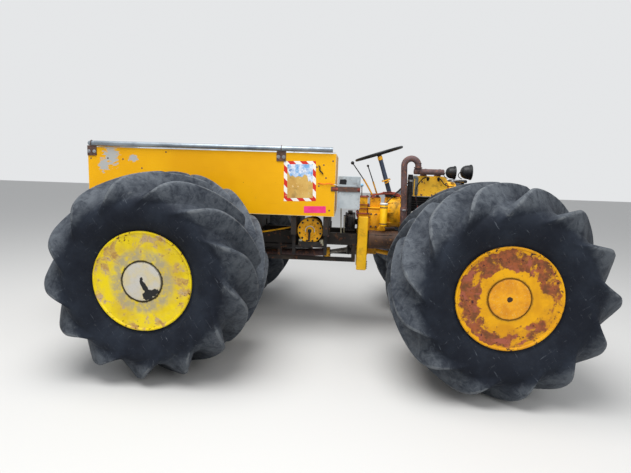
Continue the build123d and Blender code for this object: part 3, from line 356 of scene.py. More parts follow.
def capFinish(end, look):  # a cap with brushed rings, short rays, painted shade on its edge by the gap, and torn patches
    material, tree, shader = startMaterial(end + "Cap", 0.5, look["metallic"])
    spot = spotOn(tree)
    radius = lengthOf(tree, spotOn(tree, wheelMiddle(end), (1, 0, 1)))
    broad = noiseOn(tree, spot, 9.0, 4.0)
    fine = noiseOn(tree, spot, 40.0, 7.0, 0.7)
    rings = addNode(tree, "TexNoise", {"W": radius, "Scale": 260.0, "Detail": 3.0}, noise_dimensions="1D")
    rings = rings.outputs["Fac"]
    x, y, z = axesOf(tree, spotOn(tree, wheelMiddle(end)))
    around = times(tree, maths(tree, "ARCTAN2", z, x), 5.0)
    rays = addNode(tree, "CombineXYZ", {"X": around, "Y": times(tree, radius, 6.0)}).outputs[0]
    colour = blendColour(tree, band(tree, broad, 0.38, 0.66), look["paint"], look["shade"])
    colour = lay(tree, colour, look["scratch"], band(tree, rings, 0.55, 0.7), look["scratchShare"])
    rayed = band(tree, noiseOn(tree, rays, 5.0, 5.0, 0.7), 0.58, 0.66)
    colour = lay(tree, colour, look["ray"], rayed, look["rayShare"])
    # painted shade on the cap's outer edge, beside the gap round it
    edge = band(tree, ragged(tree, radius, fine, 0.02), 0.141, 0.149)
    colour = lay(tree, colour, look["edge"], edge, 0.7)
    for middle, half, lean in look["patches"]:
        reach = lengthOf(tree, turned(tree, spotOn(tree, middle), lean, [1 / size for size in half]))
        colour = lay(tree, colour, look["patch"], band(tree, ragged(tree, reach, fine, 1.4), 1.0, 0.93))
    wire(tree, shader, colour, None, plus(tree, rings, fine), 0.0006, 0.5)
    return material


tyreLook = {
    # worn is the pale of worn crests, with a painted highlight on them
    "wall": ((22, 26, 35), (38, 44, 54)), "dust": ((52, 57, 65), (88, 93, 99)), "worn": (114, 118, 121),
    "streak": (118, 120, 120), "scuff": (128, 130, 130), "scratch": (112, 118, 126), "dark": (30, 33, 40),
    # lean in degrees, edge and share of each set of scratches
    "scratches": ((35, 0.665, 0.5), (-50, 0.672, 0.4)),
}


def tyreFinish(look):  # dark sidewall, dusty lugs, pale crests that are worn and carry a painted highlight, scratches all over
    material, tree, shader = startMaterial("tyreRubber", 0.72, shine=0.14)
    spot = spotOn(tree)
    tread = addNode(tree, "Attribute", {}, attribute_name="tread").outputs["Fac"]
    worn = addNode(tree, "Attribute", {}, attribute_name="worn").outputs["Fac"]
    broad = noiseOn(tree, spot, 3.2, 5.0, 0.6)
    fine = noiseOn(tree, spot, 34.0, 8.0, 0.7)
    blotch = noiseOn(tree, spot, 15.0, 9.0, 0.75, 0.8)
    scuff = noiseOn(tree, spotOn(tree, stretch=(1, 0.4, 1)), 9.0, 9.0, 0.7, 1.2)
    scored = noiseOn(tree, spotOn(tree, stretch=(2.5, 1, 0.6)), 22.0, 9.0, 0.8, 2.2)
    wall = blendColour(tree, band(tree, broad, 0.35, 0.7), *look["wall"])
    dusty = blendColour(tree, band(tree, ragged(tree, broad, blotch, 1.2), 0.25, 0.75), *look["dust"])
    colour = lay(tree, wall, dusty, band(tree, ragged(tree, tread, scuff, 1.1), 0.15, 0.95))
    # pale crests: wear, with a painted highlight along them
    colour = lay(tree, colour, look["worn"], band(tree, ragged(tree, worn, scuff, 2.6, 0.56), 0.5, 1.0), 0.5)
    colour = lay(tree, colour, look["streak"], band(tree, scuff, 0.62, 0.74), 0.3)
    colour = lay(tree, colour, look["scuff"], band(tree, scored, 0.66, 0.7), 0.4)
    for lean, edge, share in look["scratches"]:
        line = noiseOn(tree, turned(tree, spot, lean, (9.0, 3.0, 1.0)), 7.0, 8.0, 0.78, 0.4)
        colour = lay(tree, colour, look["scratch"], band(tree, line, edge - 0.05, edge), share)
    colour = lay(tree, colour, look["dark"], band(tree, blotch, 0.48, 0.36), 0.3)
    roughness = plus(tree, 0.5, times(tree, fine, 0.4))
    wire(tree, shader, colour, roughness, plus(tree, fine, scuff), 0.0035, 0.7)
    return material


finishes["stripedBorder"] = borderFinish(borderLook)
finishes["lampGlass"] = glassFinish(glassLook)
finishes["bedPaint"] = bedFinish(bedLook)
finishes["tyreRubber"] = tyreFinish(tyreLook)
for end in ("rear", "front"):
    finishes[end + "Cap"] = capFinish(end, capLooks[end])
    finishes[end + "Rim"] = rimFinish(end, rimLooks[end])

nodeFinishes = {
    "framePaint": ("frame_rail_right", "frame_rail_left", "cross_members", "under_frame_right",
                   "under_frame_left", "drawbar", "bed_bearers"),
    "bedPaint": ("bed_side_right", "bed_side_left", "bed_front_panel", "bed_rear_panel", "bed_floor"),
    "bracketSteel": ("rail_brackets", "tool_box_band"),
    "pipeSteel": ("bed_rail",),
    "axlePaint": ("rear_axle", "front_axle", "knuckle_right", "knuckle_left", "tie_rod"),
    "rearRim": ("wheel_rear_right", "wheel_rear_left"),
    "frontRim": ("wheel_front_right", "wheel_front_left"),
    "tyreRubber": ("tyre_rear_right", "tyre_rear_left", "tyre_front_right", "tyre_front_left"),
    "gearPaint": ("drop_case", "gearbox", "bell_housing", "winch_case", "oil_canister", "front_shaft"),
    "darkIron": ("brake_drum", "engine", "breather", "winch_frame", "winch_drum"),
    "shroudPaint": ("engine_shroud", "fan_housing"),
    "rustySteel": ("exhaust_manifold", "exhaust_pipe", "torque_tube"),
    "blackPaint": ("lamp_bar", "headlamps", "steering_column", "steering_wheel", "gear_levers"),
    "shaftSteel": ("rear_shaft",),
    "boxPaint": ("tool_box", "tool_box_lid"),
}
for finishName, nodeNames in nodeFinishes.items():
    for nodeName in nodeNames:
        for place in nodes[nodeName].material_slots:
            place.material = finishes[finishName]
print("materials ready:", len(finishes))


def clearSelection():
    if bpy.context.object and bpy.context.object.mode != "OBJECT":
        bpy.ops.object.mode_set(mode="OBJECT")
    bpy.ops.object.select_all(action="DESELECT")


def applyPlace():
    bpy.ops.object.transform_apply(location=True, rotation=True, scale=True)


def joinPieces(pieces):
    clearSelection()
    for piece in pieces:
        piece.select_set(True)
    bpy.context.view_layer.objects.active = pieces[0]
    if len(pieces) > 1:
        bpy.ops.object.join()
    applyPlace()
    return bpy.context.object


def finishPiece(name, finishName, made, body="chassis", smooth=35):  # made is a piece or a list
    piece = joinPieces(made if isinstance(made, list) else [made])
    piece.name = name
    piece.data.name = name
    piece.data.materials.clear()
    piece.data.materials.append(finishes[finishName])
    if smooth:
        bpy.ops.object.shade_smooth_by_angle(angle=radians(smooth))
    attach(piece, body)
    return piece


def editAll():  # edit mode with everything selected
    bpy.ops.object.mode_set(mode="EDIT")
    bpy.ops.mesh.select_all(action="SELECT")


def leaveEdit():  # back to object mode, with the faces outwards
    bpy.ops.mesh.select_all(action="SELECT")
    bpy.ops.mesh.normals_make_consistent(inside=False)
    bpy.ops.object.mode_set(mode="OBJECT")


def turnPiece(piece, place, axis):  # lays a piece made along +Z at the origin along an axis from a place
    piece.rotation_euler = Vector(axis).to_track_quat("Z", "Y").to_euler()
    piece.location = place
    applyPlace()


tipRadius = 0.0004  # of the tiny disc that closes a turned piece's end; a ring's ends stay flat


def makeTurned(profile, place, axis, steps=64, ring=False):  # from distances and radii
    rows = list(profile)
    if not ring and rows[0][1] > tipRadius:
        rows.insert(0, (rows[0][0], tipRadius))
    if not ring and rows[-1][1] > tipRadius:
        rows.append((rows[-1][0], tipRadius))
    start, radius = rows[0]
    clearSelection()
    bpy.ops.mesh.primitive_circle_add(vertices=steps, radius=radius, fill_type="NGON", location=(0, 0, start))
    piece = bpy.context.object
    applyPlace()
    editAll()
    for (lastPlace, lastRadius), (nextPlace, nextRadius) in zip(rows, rows[1:]):
        bpy.ops.mesh.extrude_region_move(TRANSFORM_OT_translate={"value": (0, 0, nextPlace - lastPlace)})
        share = nextRadius / lastRadius
        bpy.ops.transform.resize(value=(share, share, 1), center_override=(0, 0, nextPlace))
    leaveEdit()
    turnPiece(piece, place, axis)
    return piece


def makeBlock(centre, size, bevel=0.003, segments=2, turn=(0, 0, 0)):  # a box with rounded edges
    clearSelection()
    bpy.ops.mesh.primitive_cube_add(size=1)
    piece = bpy.context.object
    piece.scale = size
    applyPlace()
    editAll()
    bpy.ops.mesh.bevel(offset=min(bevel, 0.45 * min(size)), segments=segments, affect="EDGES")
    leaveEdit()
    piece.rotation_euler = [radians(angle) for angle in turn]
    piece.location = centre
    applyPlace()
    return piece


def makeBlocks(*blocks):  # each with its centre, size, bevel, bevel steps and turn, as for one
    return [makeBlock(*block) for block in blocks]


def makeTube(points, radius, order=3, fine=3):  # a bar, pipe or wire; order 2 keeps its corners
    clearSelection()
    bpy.ops.curve.primitive_nurbs_path_add()
    tube = bpy.context.object
    tube.data.splines.clear()
    spline = tube.data.splines.new("NURBS")
    spline.points.add(len(points) - 1)
    for point, place in zip(spline.points, points):
        point.co = (*place, 1)
    spline.order_u = order
    spline.use_endpoint_u = True
    tube.data.resolution_u = 10 if order > 2 else 1
    tube.data.bevel_depth = radius
    tube.data.bevel_resolution = fine
    tube.data.use_fill_caps = True
    bpy.ops.object.convert(target="MESH")
    editAll()
    bpy.ops.mesh.remove_doubles(threshold=radius * 0.01)
    leaveEdit()
    return bpy.context.object


def makeKnob(place, radius):
    clearSelection()
    bpy.ops.mesh.primitive_uv_sphere_add(segments=24, ring_count=14, radius=radius, location=place)
    applyPlace()
    return bpy.context.object


def makePlate(outline, y, thickness):  # a thin plate that faces right, from x and z of its corners
    clearSelection()
    bpy.ops.mesh.primitive_circle_add(vertices=len(outline), radius=1, fill_type="NGON")
    piece = bpy.context.object
    for vertex, (x, z) in zip(piece.data.vertices, outline):
        vertex.co = (x, y, z)
    editAll()
    bpy.ops.mesh.extrude_region_move(TRANSFORM_OT_translate={"value": (0, -thickness, 0)})
    leaveEdit()
    return piece


def copyTo(piece, places):  # copies of a piece, shifted, each with its own mesh
    copies = []
    for place in places:
        made = piece.copy()
        made.data = piece.data.copy()
        bpy.context.collection.objects.link(made)
        made.location = place
        copies.append(made)
    return copies


def makeBolts(places, axis, radius, height, washer=0.0):  # hexagon heads, on washers, that face along an axis
    clearSelection()
    bpy.ops.mesh.primitive_cylinder_add(vertices=6, radius=radius, depth=height, location=(0, 0, height / 2))
    parts = [bpy.context.object]
    applyPlace()
    editAll()
    bpy.ops.mesh.bevel(offset=radius * 0.14, segments=1, affect="EDGES")
    leaveEdit()
    if washer:
        disc = ((0, washer), (height * 0.3, washer), (height * 0.34, washer * 0.9))
        parts.append(makeTurned(disc, (0, 0, 0), upward, 14, ring=True))
    bolt = joinPieces(parts)
    turnPiece(bolt, (0, 0, 0), axis)
    bolts = copyTo(bolt, places)
    bpy.data.objects.remove(bolt)
    return joinPieces(bolts)


def addBolts(name, finishName, places, axis, size):  # a size is radius, height and washer
    finishPiece(name, finishName, makeBolts(places, axis, *size))


def arcPlaces(centre, radius, angles, across="XZ"):  # places round a centre, in the plane XZ or YZ
    made = []
    for angle in angles:
        level, rise = cos(radians(angle)), sin(radians(angle))
        offset = (level, 0, rise) if across == "XZ" else (0, level, rise)
        made.append(Vector(centre) + Vector(offset) * radius)
    return made


def ringPlaces(centre, radius, count, across="XZ", first=0.0):  # places spread evenly on a circle
    return arcPlaces(centre, radius, [first + index * 360 / count for index in range(count)], across)


def roundPath(corners, radius, steps=8):  # the corners of a line, each rounded to a radius
    corners = [Vector(corner) for corner in corners]
    path = [corners[0]]
    for last, corner, after in zip(corners, corners[1:], corners[2:]):
        into, out = (corner - last).normalized(), (after - corner).normalized()
        turn = into.angle(out)
        inward = (out - into * into.dot(out)).normalized()
        start = corner - into * radius * tan(turn / 2)
        for step in range(steps + 1):
            angle = turn * step / steps
            path.append(start + inward * radius * (1 - cos(angle)) + into * radius * sin(angle))
    return path + [corners[-1]]


def openEnd(place, axis, radius, wall, depth):  # the open mouth of a pipe, to be joined with the pipe
    inner = radius - wall
    return makeTurned(((0, radius), (depth, radius), (depth, inner), (depth * 0.1, inner)), place, axis, 32)


tyreShape = {
    "lugs": 13,                # on each half of the tread
    "columnsPerLug": 26,
    "rowsPerKey": 4,
    "centreFade": 0.035,       # a lug's inner end rises over twice this, at the tread's middle
    "evenUntil": 0.09,         # from the tread's middle out to here, the columns bunch up to the crests
    "bunch": (0.15, 0.72),     # shares of half a pitch's columns out to the crest's edge and to the foot
    "ahead": 0.74,             # the flanks' reach on the half foot, ahead and behind, and the most behind
    "behind": 1.12,
    "widest": 13.6,
    "fillet": 1.3,
    "dusty": (0.575, 0.09),    # radius where the dusty tread begins, and how far it rises
    "worn": (0.88, 0.12),      # level where a crest begins to be worn and to get a painted highlight, and how far it rises
    "wearAndHighlightHeight": 0.06,        # lower lugs are less worn and get less painted highlight
    # degrees from +X to the crest of a lug at the middle of the tread
    "turn": {"rear_right": 4.0, "rear_left": 10.0, "front_right": 14.4, "front_left": 21.0},
    # distance from the tread's middle, radius, lug height, half crest, half foot and trail in degrees
    "profile": (
        (0.000, 0.702, 0.127, 0.9, 10.4, 0.0),
        (0.060, 0.702, 0.127, 0.9, 10.8, 8.0),
        (0.160, 0.701, 0.126, 0.9, 11.4, 18.5),
        (0.260, 0.698, 0.124, 0.9, 11.8, 28.0),
        (0.360, 0.692, 0.121, 0.9, 12.1, 35.5),
        (0.430, 0.681, 0.116, 0.9, 12.2, 40.5),
        (0.480, 0.662, 0.098, 0.9, 11.8, 45.0),
        (0.515, 0.634, 0.062, 0.7, 10.6, 50.0),
        (0.537, 0.600, 0.022, 0.6, 8.0, 56.0),
        (0.546, 0.562, 0.002, 0.5, 7.0, 60.0),
        (0.545, 0.530, 0.000, 0.5, 7.0, 62.0),
        (0.537, 0.490, 0.000, 0.5, 7.0, 62.0),
        (0.522, 0.450, 0.000, 0.5, 7.0, 62.0),
        (0.503, 0.417, 0.000, 0.5, 7.0, 62.0),
        (0.490, 0.397, 0.000, 0.5, 7.0, 62.0),
        (0.485, 0.386, 0.000, 0.5, 7.0, 62.0),
        (0.484, 0.345, 0.000, 0.5, 7.0, 62.0),
    ),
}


def smoothRows(keys, perKey):  # more rows between the keys, on a smooth line through them
    rows = []
    for index in range(len(keys) - 1):
        before, after = keys[max(index - 1, 0)], keys[min(index + 2, len(keys) - 1)]
        for step in range(perKey):
            t = step / perKey
            rows.append(tuple(
                0.5 * (2 * b + (c - a) * t + (2 * a - 5 * b + 4 * c - d) * t * t
                       + (3 * b - a - 3 * c + d) * t ** 3)
                for a, b, c, d in zip(before, keys[index], keys[index + 1], after)))
    return rows + [keys[-1]]


def ease(value):
    value = min(max(value, 0), 1)
    return value * value * (3 - 2 * value)


def bunchedAngle(share, crest, foot, half):  # a column's angle from its lug, for -1 to 1 across a pitch
    crestShare, footShare = tyreShape["bunch"]
    marks = ((0, 0.0), (crestShare, crest), (footShare, foot), (1, half))
    for (lowShare, lowAngle), (highShare, highAngle) in zip(marks, marks[1:]):
        if abs(share) <= highShare:
            angle = lowAngle + (highAngle - lowAngle) * (abs(share) - lowShare) / (highShare - lowShare)
            return angle if share >= 0 else -angle


def lugLevel(angle, crest, foot):  # 1 on the crest, a steep flank ahead and a broad one behind
    foot = foot * tyreShape["ahead"] if angle > 0 else min(foot * tyreShape["behind"], tyreShape["widest"])
    drop = (abs(angle) - crest) / (foot - crest)
    return (1 - min(max(drop, 0), 1)) ** tyreShape["fillet"]


def pitchColumns(shape, hand, row):  # each column's angle from the lug and share of its height
    across, (crest, foot, trail) = row[0], row[3:]
    columns, fade, pitch = shape["columnsPerLug"], shape["centreFade"], 360 / shape["lugs"]
    bunched = [bunchedAngle(2 * index / columns - 1, crest, foot, pitch / 2) for index in range(columns)]
    if hand < 0:  # the two halves' lugs stand half a pitch apart
        middle = columns // 2
        bunched = ([angle - pitch / 2 for angle in bunched[middle:]]
                   + [angle + pitch / 2 for angle in bunched[:middle]])
    spread = ease(across / shape["evenUntil"])
    made = []
    for index in range(columns):
        angle = (2 * index / columns - 1) * pitch / 2 * (1 - spread) + bunched[index] * spread
        level = 0.0
        for lugHand in (1, -1):
            fromCrest = angle if lugHand > 0 else (angle + pitch) % pitch - pitch / 2
            inward = lugHand * hand * across
            if inward < 0:
                fromCrest = (fromCrest + 2 * trail + pitch / 2) % pitch - pitch / 2
            reach = ease((inward + fade) / (2 * fade))
            level = max(level, lugLevel(fromCrest, crest, foot) * reach)
        made.append((angle, level))
    return made


def makeTyre(corner):
    shape = tyreShape
    end, sideName = corner.split("_")
    half = smoothRows(shape["profile"], shape["rowsPerKey"])
    lines = [(-1, row) for row in reversed(half[1:])] + [(1, row) for row in half]
    columns = shape["lugs"] * shape["columnsPerLug"]
    clearSelection()
    bpy.ops.mesh.primitive_grid_add(x_subdivisions=columns, y_subdivisions=len(lines) - 1, size=1)
    piece = bpy.context.object
    places, tread, worn = [], [], []
    (dustyFrom, dustyRise), (wearAndHighlightFrom, wearAndHighlightRise) = shape["dusty"], shape["worn"]
    for rowIndex, (hand, row) in enumerate(lines):
        (across, radius, height), trail = row[:3], row[-1]
        lastHand, lastRow = lines[max(rowIndex - 1, 0)]
        nextHand, nextRow = lines[min(rowIndex + 1, len(lines) - 1)]
        run, rise = nextHand * nextRow[0] - lastHand * lastRow[0], nextRow[1] - lastRow[1]
        outY, outR = -rise / hypot(run, rise), run / hypot(run, rise)
        pitchRow = pitchColumns(shape, hand, row)
        for columnIndex in range(columns + 1):
            lug, inLug = divmod(columnIndex, shape["columnsPerLug"])
            offset, level = pitchRow[inLug]
            angle = radians(shape["turn"][corner] + lug * 360 / shape["lugs"] + offset + trail)
            far = radius + height * level * outR
            y = wheelPlace["across"] + hand * across + height * level * outY
            places.append((wheelPlace[end] + far * cos(angle), sides[sideName] * y,
                           wheelPlace["height"] + far * sin(angle)))
            tread.append(ease((radius - dustyFrom) / dustyRise) * (0.5 + 0.5 * level))
            # the crests' wear and painted highlight, less on lower lugs
            worn.append(ease((level - wearAndHighlightFrom) / wearAndHighlightRise) * min(height / shape["wearAndHighlightHeight"], 1))
    for vertex, place in zip(piece.data.vertices, places):
        vertex.co = place
    for name, values in (("tread", tread), ("worn", worn)):
        piece.data.attributes.new(name, "FLOAT", "POINT").data.foreach_set("value", values)
    editAll()
    bpy.ops.mesh.remove_doubles(threshold=0.0002)
    bpy.ops.mesh.select_all(action="DESELECT")
    bpy.ops.mesh.select_non_manifold()
    bpy.ops.mesh.bridge_edge_loops()
    leaveEdit()
    tyre = finishPiece("tyre_" + corner + "_rubber", "tyreRubber", piece,
                       corner + "_wheel", 40)
    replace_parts(tyre, "tyre_" + corner)


for corner in tyreShape["turn"]:
    makeTyre(corner)
print("tyres made")

wheelShape = {
    "steps": 128,
    # distance out from the wheel's middle and radius, from the bore's end round to the cap's groove
    "rim": ((0.486, 0.0453), (-0.345, 0.0453), (-0.345, 0.11), (0.47, 0.11), (0.47, 0.322),
            (-0.5, 0.322), (-0.5, 0.372), (-0.497, 0.379), (-0.49, 0.38), (-0.49, 0.33),
            (0.484, 0.33), (0.484, 0.372), (0.486, 0.379), (0.492, 0.3838), (0.499, 0.3842),
            (0.505, 0.3815), (0.5075, 0.377), (0.507, 0.371), (0.503, 0.3655), (0.4995, 0.362),
            (0.4985, 0.358), (0.4985, 0.1575), (0.4975, 0.156), (0.487, 0.1558)),
    "cap": ((0.486, 0.15), (0.4985, 0.15), (0.5015, 0.1486), (0.5035, 0.145), (0.5038, 0.133),
            (0.5045, 0.08), (0.505, tipRadius)),
}


def makeWheel(corner):
    end, sideName = corner.split("_")
    side = sides[sideName]
    middle = (wheelPlace[end], side * wheelPlace["across"], wheelPlace["height"])
    for part, name, finishName in (("rim", "_rim", end + "Rim"), ("cap", "_cap", end + "Cap")):
        made = makeTurned(wheelShape[part], middle, (0, side, 0), wheelShape["steps"])
        piece = finishPiece("wheel_" + corner + name, finishName, made, corner + "_wheel", 28)
        if part == "rim":
            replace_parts(piece, "wheel_" + corner)


for corner in tyreShape["turn"]:
    makeWheel(corner)
print("wheels made")

# Bed rail, as bent pipe with open front ends, and its clips
railShape = {
    "across": 0.524, "height": 1.9043, "front": 0.145, "rear": -2.26, "bend": 0.07,
    "radius": 0.024, "wall": 0.003, "mouth": 0.03,
    "clipX": (-2.215, -0.345), "clipRadius": 0.0275, "clipWire": 0.0035,
}
railFront = railShape["front"] - railShape["mouth"]
railCorners = [(x, side * railShape["across"], railShape["height"]) for x, side in
               ((railFront, -1), (railShape["rear"], -1), (railShape["rear"], 1), (railFront, 1))]
railParts = [makeTube(roundPath(railCorners, railShape["bend"]), railShape["radius"], order=2, fine=7)]
for end in (railCorners[0], railCorners[-1]):
    railParts.append(openEnd(end, forward, railShape["radius"], railShape["wall"], railShape["mouth"]))
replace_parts(finishPiece("bed_rail_pipe", "pipeSteel", railParts), "bed_rail")
clipPlaces = [(x, side * railShape["across"], railShape["height"])
              for x in railShape["clipX"] for side in (-1, 1)]
clips = [makeTube(arcPlaces(place, railShape["clipRadius"], range(-40, 221, 20), "YZ"),
                  railShape["clipWire"], 2, 2)
         for place in clipPlaces]
finishPiece("bed_rail_clips", "bracketSteel", clips)

# Bolts on the cargo box and its brackets. The size of a head is its radius, height and washer
bedBolts = {
    "places": ((-2.23, 1.758), (-2.058, 1.763), (-1.906, 1.758), (-1.474, 1.838), (-1.717, 1.677),
               (-2.23, 1.33), (0.13, 1.33), (-0.002, 1.74), (0.064, 1.761), (0.088, 1.639), (0.023, 1.561),
               (-0.8, 1.33), (0.15, 1.8), (-1.3, 1.33)),
    "face": 0.5198, "size": (0.0052, 0.003, 0.008),
    "bracketX": (-2.244, -2.19, -0.372, -0.322), "bracketZ": 1.825, "bracketFace": 0.5278,
    "bracketSize": (0.011, 0.008, 0.017),
}
for name, side in sides.items():
    places = [(x, side * bedBolts["face"], z) for x, z in bedBolts["places"]]
    addBolts("bed_bolts_" + name, "rustySteel", places, (0, side, 0), bedBolts["size"])
    places = [(x, side * bedBolts["bracketFace"], bedBolts["bracketZ"]) for x in bedBolts["bracketX"]]
    addBolts("bracket_bolts_" + name, "brightSteel", places, (0, side, 0),
             bedBolts["bracketSize"])
print("bed trim made")

# Remains of a sticker with a striped border, and a pink strip, both bare: finish, thickness and outline
boxFace = -0.5199
stickerParts = {
    "outer": ("stripedBorder", 0.0008, ((-0.311, 1.405), (-0.001, 1.416), (-0.013, 1.796), (-0.319, 1.787))),
    "inner": ("oldGlue", 0.0014, ((-0.279, 1.436), (-0.032, 1.445), (-0.042, 1.766), (-0.286, 1.757))),
    "paper": ("oldPaper", 0.0022, (
        (-0.281, 1.69), (-0.252, 1.642), (-0.236, 1.655), (-0.205, 1.636), (-0.176, 1.65), (-0.14, 1.64),
        (-0.118, 1.668), (-0.092, 1.655), (-0.078, 1.6), (-0.06, 1.612), (-0.05, 1.59), (-0.037, 1.604),
        (-0.04, 1.765), (-0.14, 1.764), (-0.285, 1.757))),
    "tape": ("pinkTape", 0.001, ((-0.113, 1.298), (0.098, 1.305), (0.096, 1.37), (-0.115, 1.363))),
}
for part, (finishName, thickness, outline) in stickerParts.items():
    finishPiece("sticker_" + part, finishName, makePlate(outline, boxFace, thickness), smooth=0)

boxWires = {  # finish, slot, radius and line of each
    "bed_hook": ("blackPaint", "bed_paint", 0.006, (
        (0.017, -0.5195, 1.752), (0.02, -0.532, 1.75), (0.03, -0.538, 1.738), (0.026, -0.536, 1.705),
        (0.05, -0.532, 1.69), (0.058, -0.524, 1.676))),
    "tool_box_wire_orange": ("orangeWire", "box_paint", 0.0035, (
        (0.013, -0.518, 1.584), (0.025, -0.527, 1.588), (0.07, -0.531, 1.578), (0.12, -0.533, 1.59),
        (0.165, -0.531, 1.58))),
    "tool_box_wire_white": ("whitePlastic", "box_paint", 0.0032, (
        (0.165, -0.531, 1.58), (0.185, -0.529, 1.583), (0.208, -0.522, 1.566))),
}
for name, (finishName, slotName, radius, points) in boxWires.items():
    finishPiece(name, finishName, makeTube(points, radius))

# Tool box: the lid's lip, top and latch, a black plate for the painted shade in the gap under it, hinge,
# rivets and the band's bolts
boxShape = {
    "rear": 0.205, "front": 0.42, "outer": -0.52, "middle": (0.3125, -0.4),
    "lipZ": 1.57, "lipHeight": 0.018,
    "gapShade": ((0.218, 1.586), (0.284, 1.584), (0.288, 1.622), (0.272, 1.634), (0.224, 1.63)),
    "rivetX": (0.22, 0.405), "rivetZ": (1.375, 1.45), "rivetSize": (0.004, 0.0025, 0.006),
    "hingeX": (0.23, 0.276, 0.352), "hingeY": -0.2725, "hingeZ": 1.548,
    "barrel": ((0, 0.006), (0.044, 0.006)),
    "bandBoltX": (0.166, 0.192, 0.404), "bandBoltSize": (0.01, 0.008, 0.015),
}
boxX, boxY = boxShape["middle"]
lidParts = makeBlocks(
    ((boxX, boxShape["outer"] - 0.002, boxShape["lipZ"]), (0.217, 0.004, boxShape["lipHeight"]), 0.001),
    ((boxShape["rear"] - 0.002, boxY, boxShape["lipZ"]), (0.004, 0.24, boxShape["lipHeight"]), 0.001),
    ((boxShape["front"] + 0.002, boxY, boxShape["lipZ"]), (0.004, 0.24, boxShape["lipHeight"]), 0.001),
    ((boxX, boxY, 1.6605), (0.185, 0.205, 0.006), 0.003, 3),
    ((0.395, boxShape["outer"] - 0.003, 1.6), (0.026, 0.006, 0.06), 0.002))
finishPiece("tool_box_lid_lip", "boxPaint", lidParts, "tool_box_lid_body")
# painted shade: a black plate stands for the shadow in the gap under the lid
finishPiece("tool_box_lid_gap_shade", "blackPaint", makePlate(boxShape["gapShade"], boxFace, 0.0012),
            "tool_box_lid_body", smooth=0)
rivets = [(x, boxShape["outer"], z) for x in boxShape["rivetX"] for z in boxShape["rivetZ"]]
addBolts("tool_box_rivets", "brightSteel", rivets, rightward, boxShape["rivetSize"])
hinge = [makeTurned(boxShape["barrel"], (x, boxShape["hingeY"], boxShape["hingeZ"]), forward, 16)
         for x in boxShape["hingeX"]]
hinge.append(makeBlock((0.291, -0.2775, 1.536), (0.17, 0.005, 0.026), 0.001))
finishPiece("tool_box_hinge", "rustySteel", hinge)
addBolts("tool_box_band_bolts", "redRust",
         [(x, -0.5278, 1.538) for x in boxShape["bandBoltX"]], rightward, boxShape["bandBoltSize"])
print("tool box made")

# Exhaust: the arched pipe with its clamp and bands, and the manifold log with its ports
exhaustShape = {
    "y": -0.295, "radius": 0.0305, "bend": 0.069,
    "path": ((0.8795, 1.095), (0.845, 1.855), (0.985, 1.855), (0.985, 1.772)), "foot": (0.8825, 1.0395),
    "mouth": (0.033, 0.003, 0.055),       # radius, wall and depth
    "clampAt": (0.866, 1.373),
    "clamp": ((0, 0.031), (0, 0.0345), (0.018, 0.035), (0.022, 0.0375), (0.034, 0.0375), (0.038, 0.0345),
              (0.27, 0.0335), (0.272, 0.03)),
    "clampBolts": ((-0.006, -0.036, -0.028), (0.01, -0.035, -0.028)), "clampBoltSize": (0.006, 0.01, 0.009),
    "bandZ": (1.8095, 1.77), "band": ((0, 0.029), (0.001, 0.0325), (0.004, 0.0325), (0.005, 0.029)),
    "logX": 0.945, "logZ": 1.73, "log": ((0, 0.022), (0.006, 0.028), (0.289, 0.028), (0.295, 0.022)),
    "riser": ((0, 0.034), (0.02, 0.031), (0.03, 0.031), (0.031, 0.04), (0.043, 0.04)),
    "portX": (1.06, 1.2), "portY": -0.17, "portZ": 1.692, "portRadius": 0.021, "portBend": 0.032,
    "plug": ((0, 0.031), (0.014, 0.031), (0.022, 0.026)), "plugY": -0.284,
    "flange": (0.062, 0.06, 0.012), "studs": ((-0.022, -0.02), (0.022, 0.02)),
    "studSize": (0.007, 0.009, 0.01),
}


def exhaustPoint(x, z):
    return Vector((x, exhaustShape["y"], z))


pipePath = roundPath([exhaustPoint(*corner) for corner in exhaustShape["path"]], exhaustShape["bend"], 12)
runDown = (exhaustPoint(*exhaustShape["foot"]) - pipePath[0]).normalized()
clampAt = exhaustPoint(*exhaustShape["clampAt"])
riserX = exhaustShape["path"][-1][0]
pipeParts = [makeTube(pipePath, exhaustShape["radius"], order=2, fine=9),
             openEnd(pipePath[0], runDown, *exhaustShape["mouth"]),
             makeTurned(exhaustShape["clamp"], clampAt, runDown, 40, ring=True)]
for z in exhaustShape["bandZ"]:
    pipeParts.append(makeTurned(exhaustShape["band"], exhaustPoint(riserX, z), upward, 36, ring=True))
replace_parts(finishPiece("exhaust_arch", "rustySteel", pipeParts, smooth=30), "exhaust_pipe")
clampBolts = [clampAt + Vector(offset) for offset in exhaustShape["clampBolts"]]
addBolts("exhaust_clamp_bolts", "brightSteel", clampBolts, rightward,
         exhaustShape["clampBoltSize"])

logParts = [makeTurned(exhaustShape["log"], exhaustPoint(exhaustShape["logX"], exhaustShape["logZ"]),
                       forward, 36),
            makeTurned(exhaustShape["riser"], exhaustPoint(riserX, exhaustShape["logZ"]), upward, 36)]
studs = []
for x in exhaustShape["portX"]:
    y, z = exhaustShape["portY"], exhaustShape["portZ"]
    elbow = roundPath([exhaustPoint(x, exhaustShape["logZ"]), (x, y, exhaustShape["logZ"]), (x, y, z)],
                      exhaustShape["portBend"])
    logParts.append(makeTube(elbow, exhaustShape["portRadius"], order=2, fine=6))
    logParts.append(makeBlock((x, y, z + 0.004), exhaustShape["flange"], 0.004))
    logParts.append(makeTurned(exhaustShape["plug"], (x, exhaustShape["plugY"], exhaustShape["logZ"]),
                               leftward, 30))
    studs += [(x + dx, y + dy, z + 0.01) for dx, dy in exhaustShape["studs"]]
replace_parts(finishPiece("exhaust_log", "rustySteel", logParts, smooth=30), "exhaust_manifold")
addBolts("exhaust_studs", "brightSteel", studs, upward, exhaustShape["studSize"])
print("exhaust made")

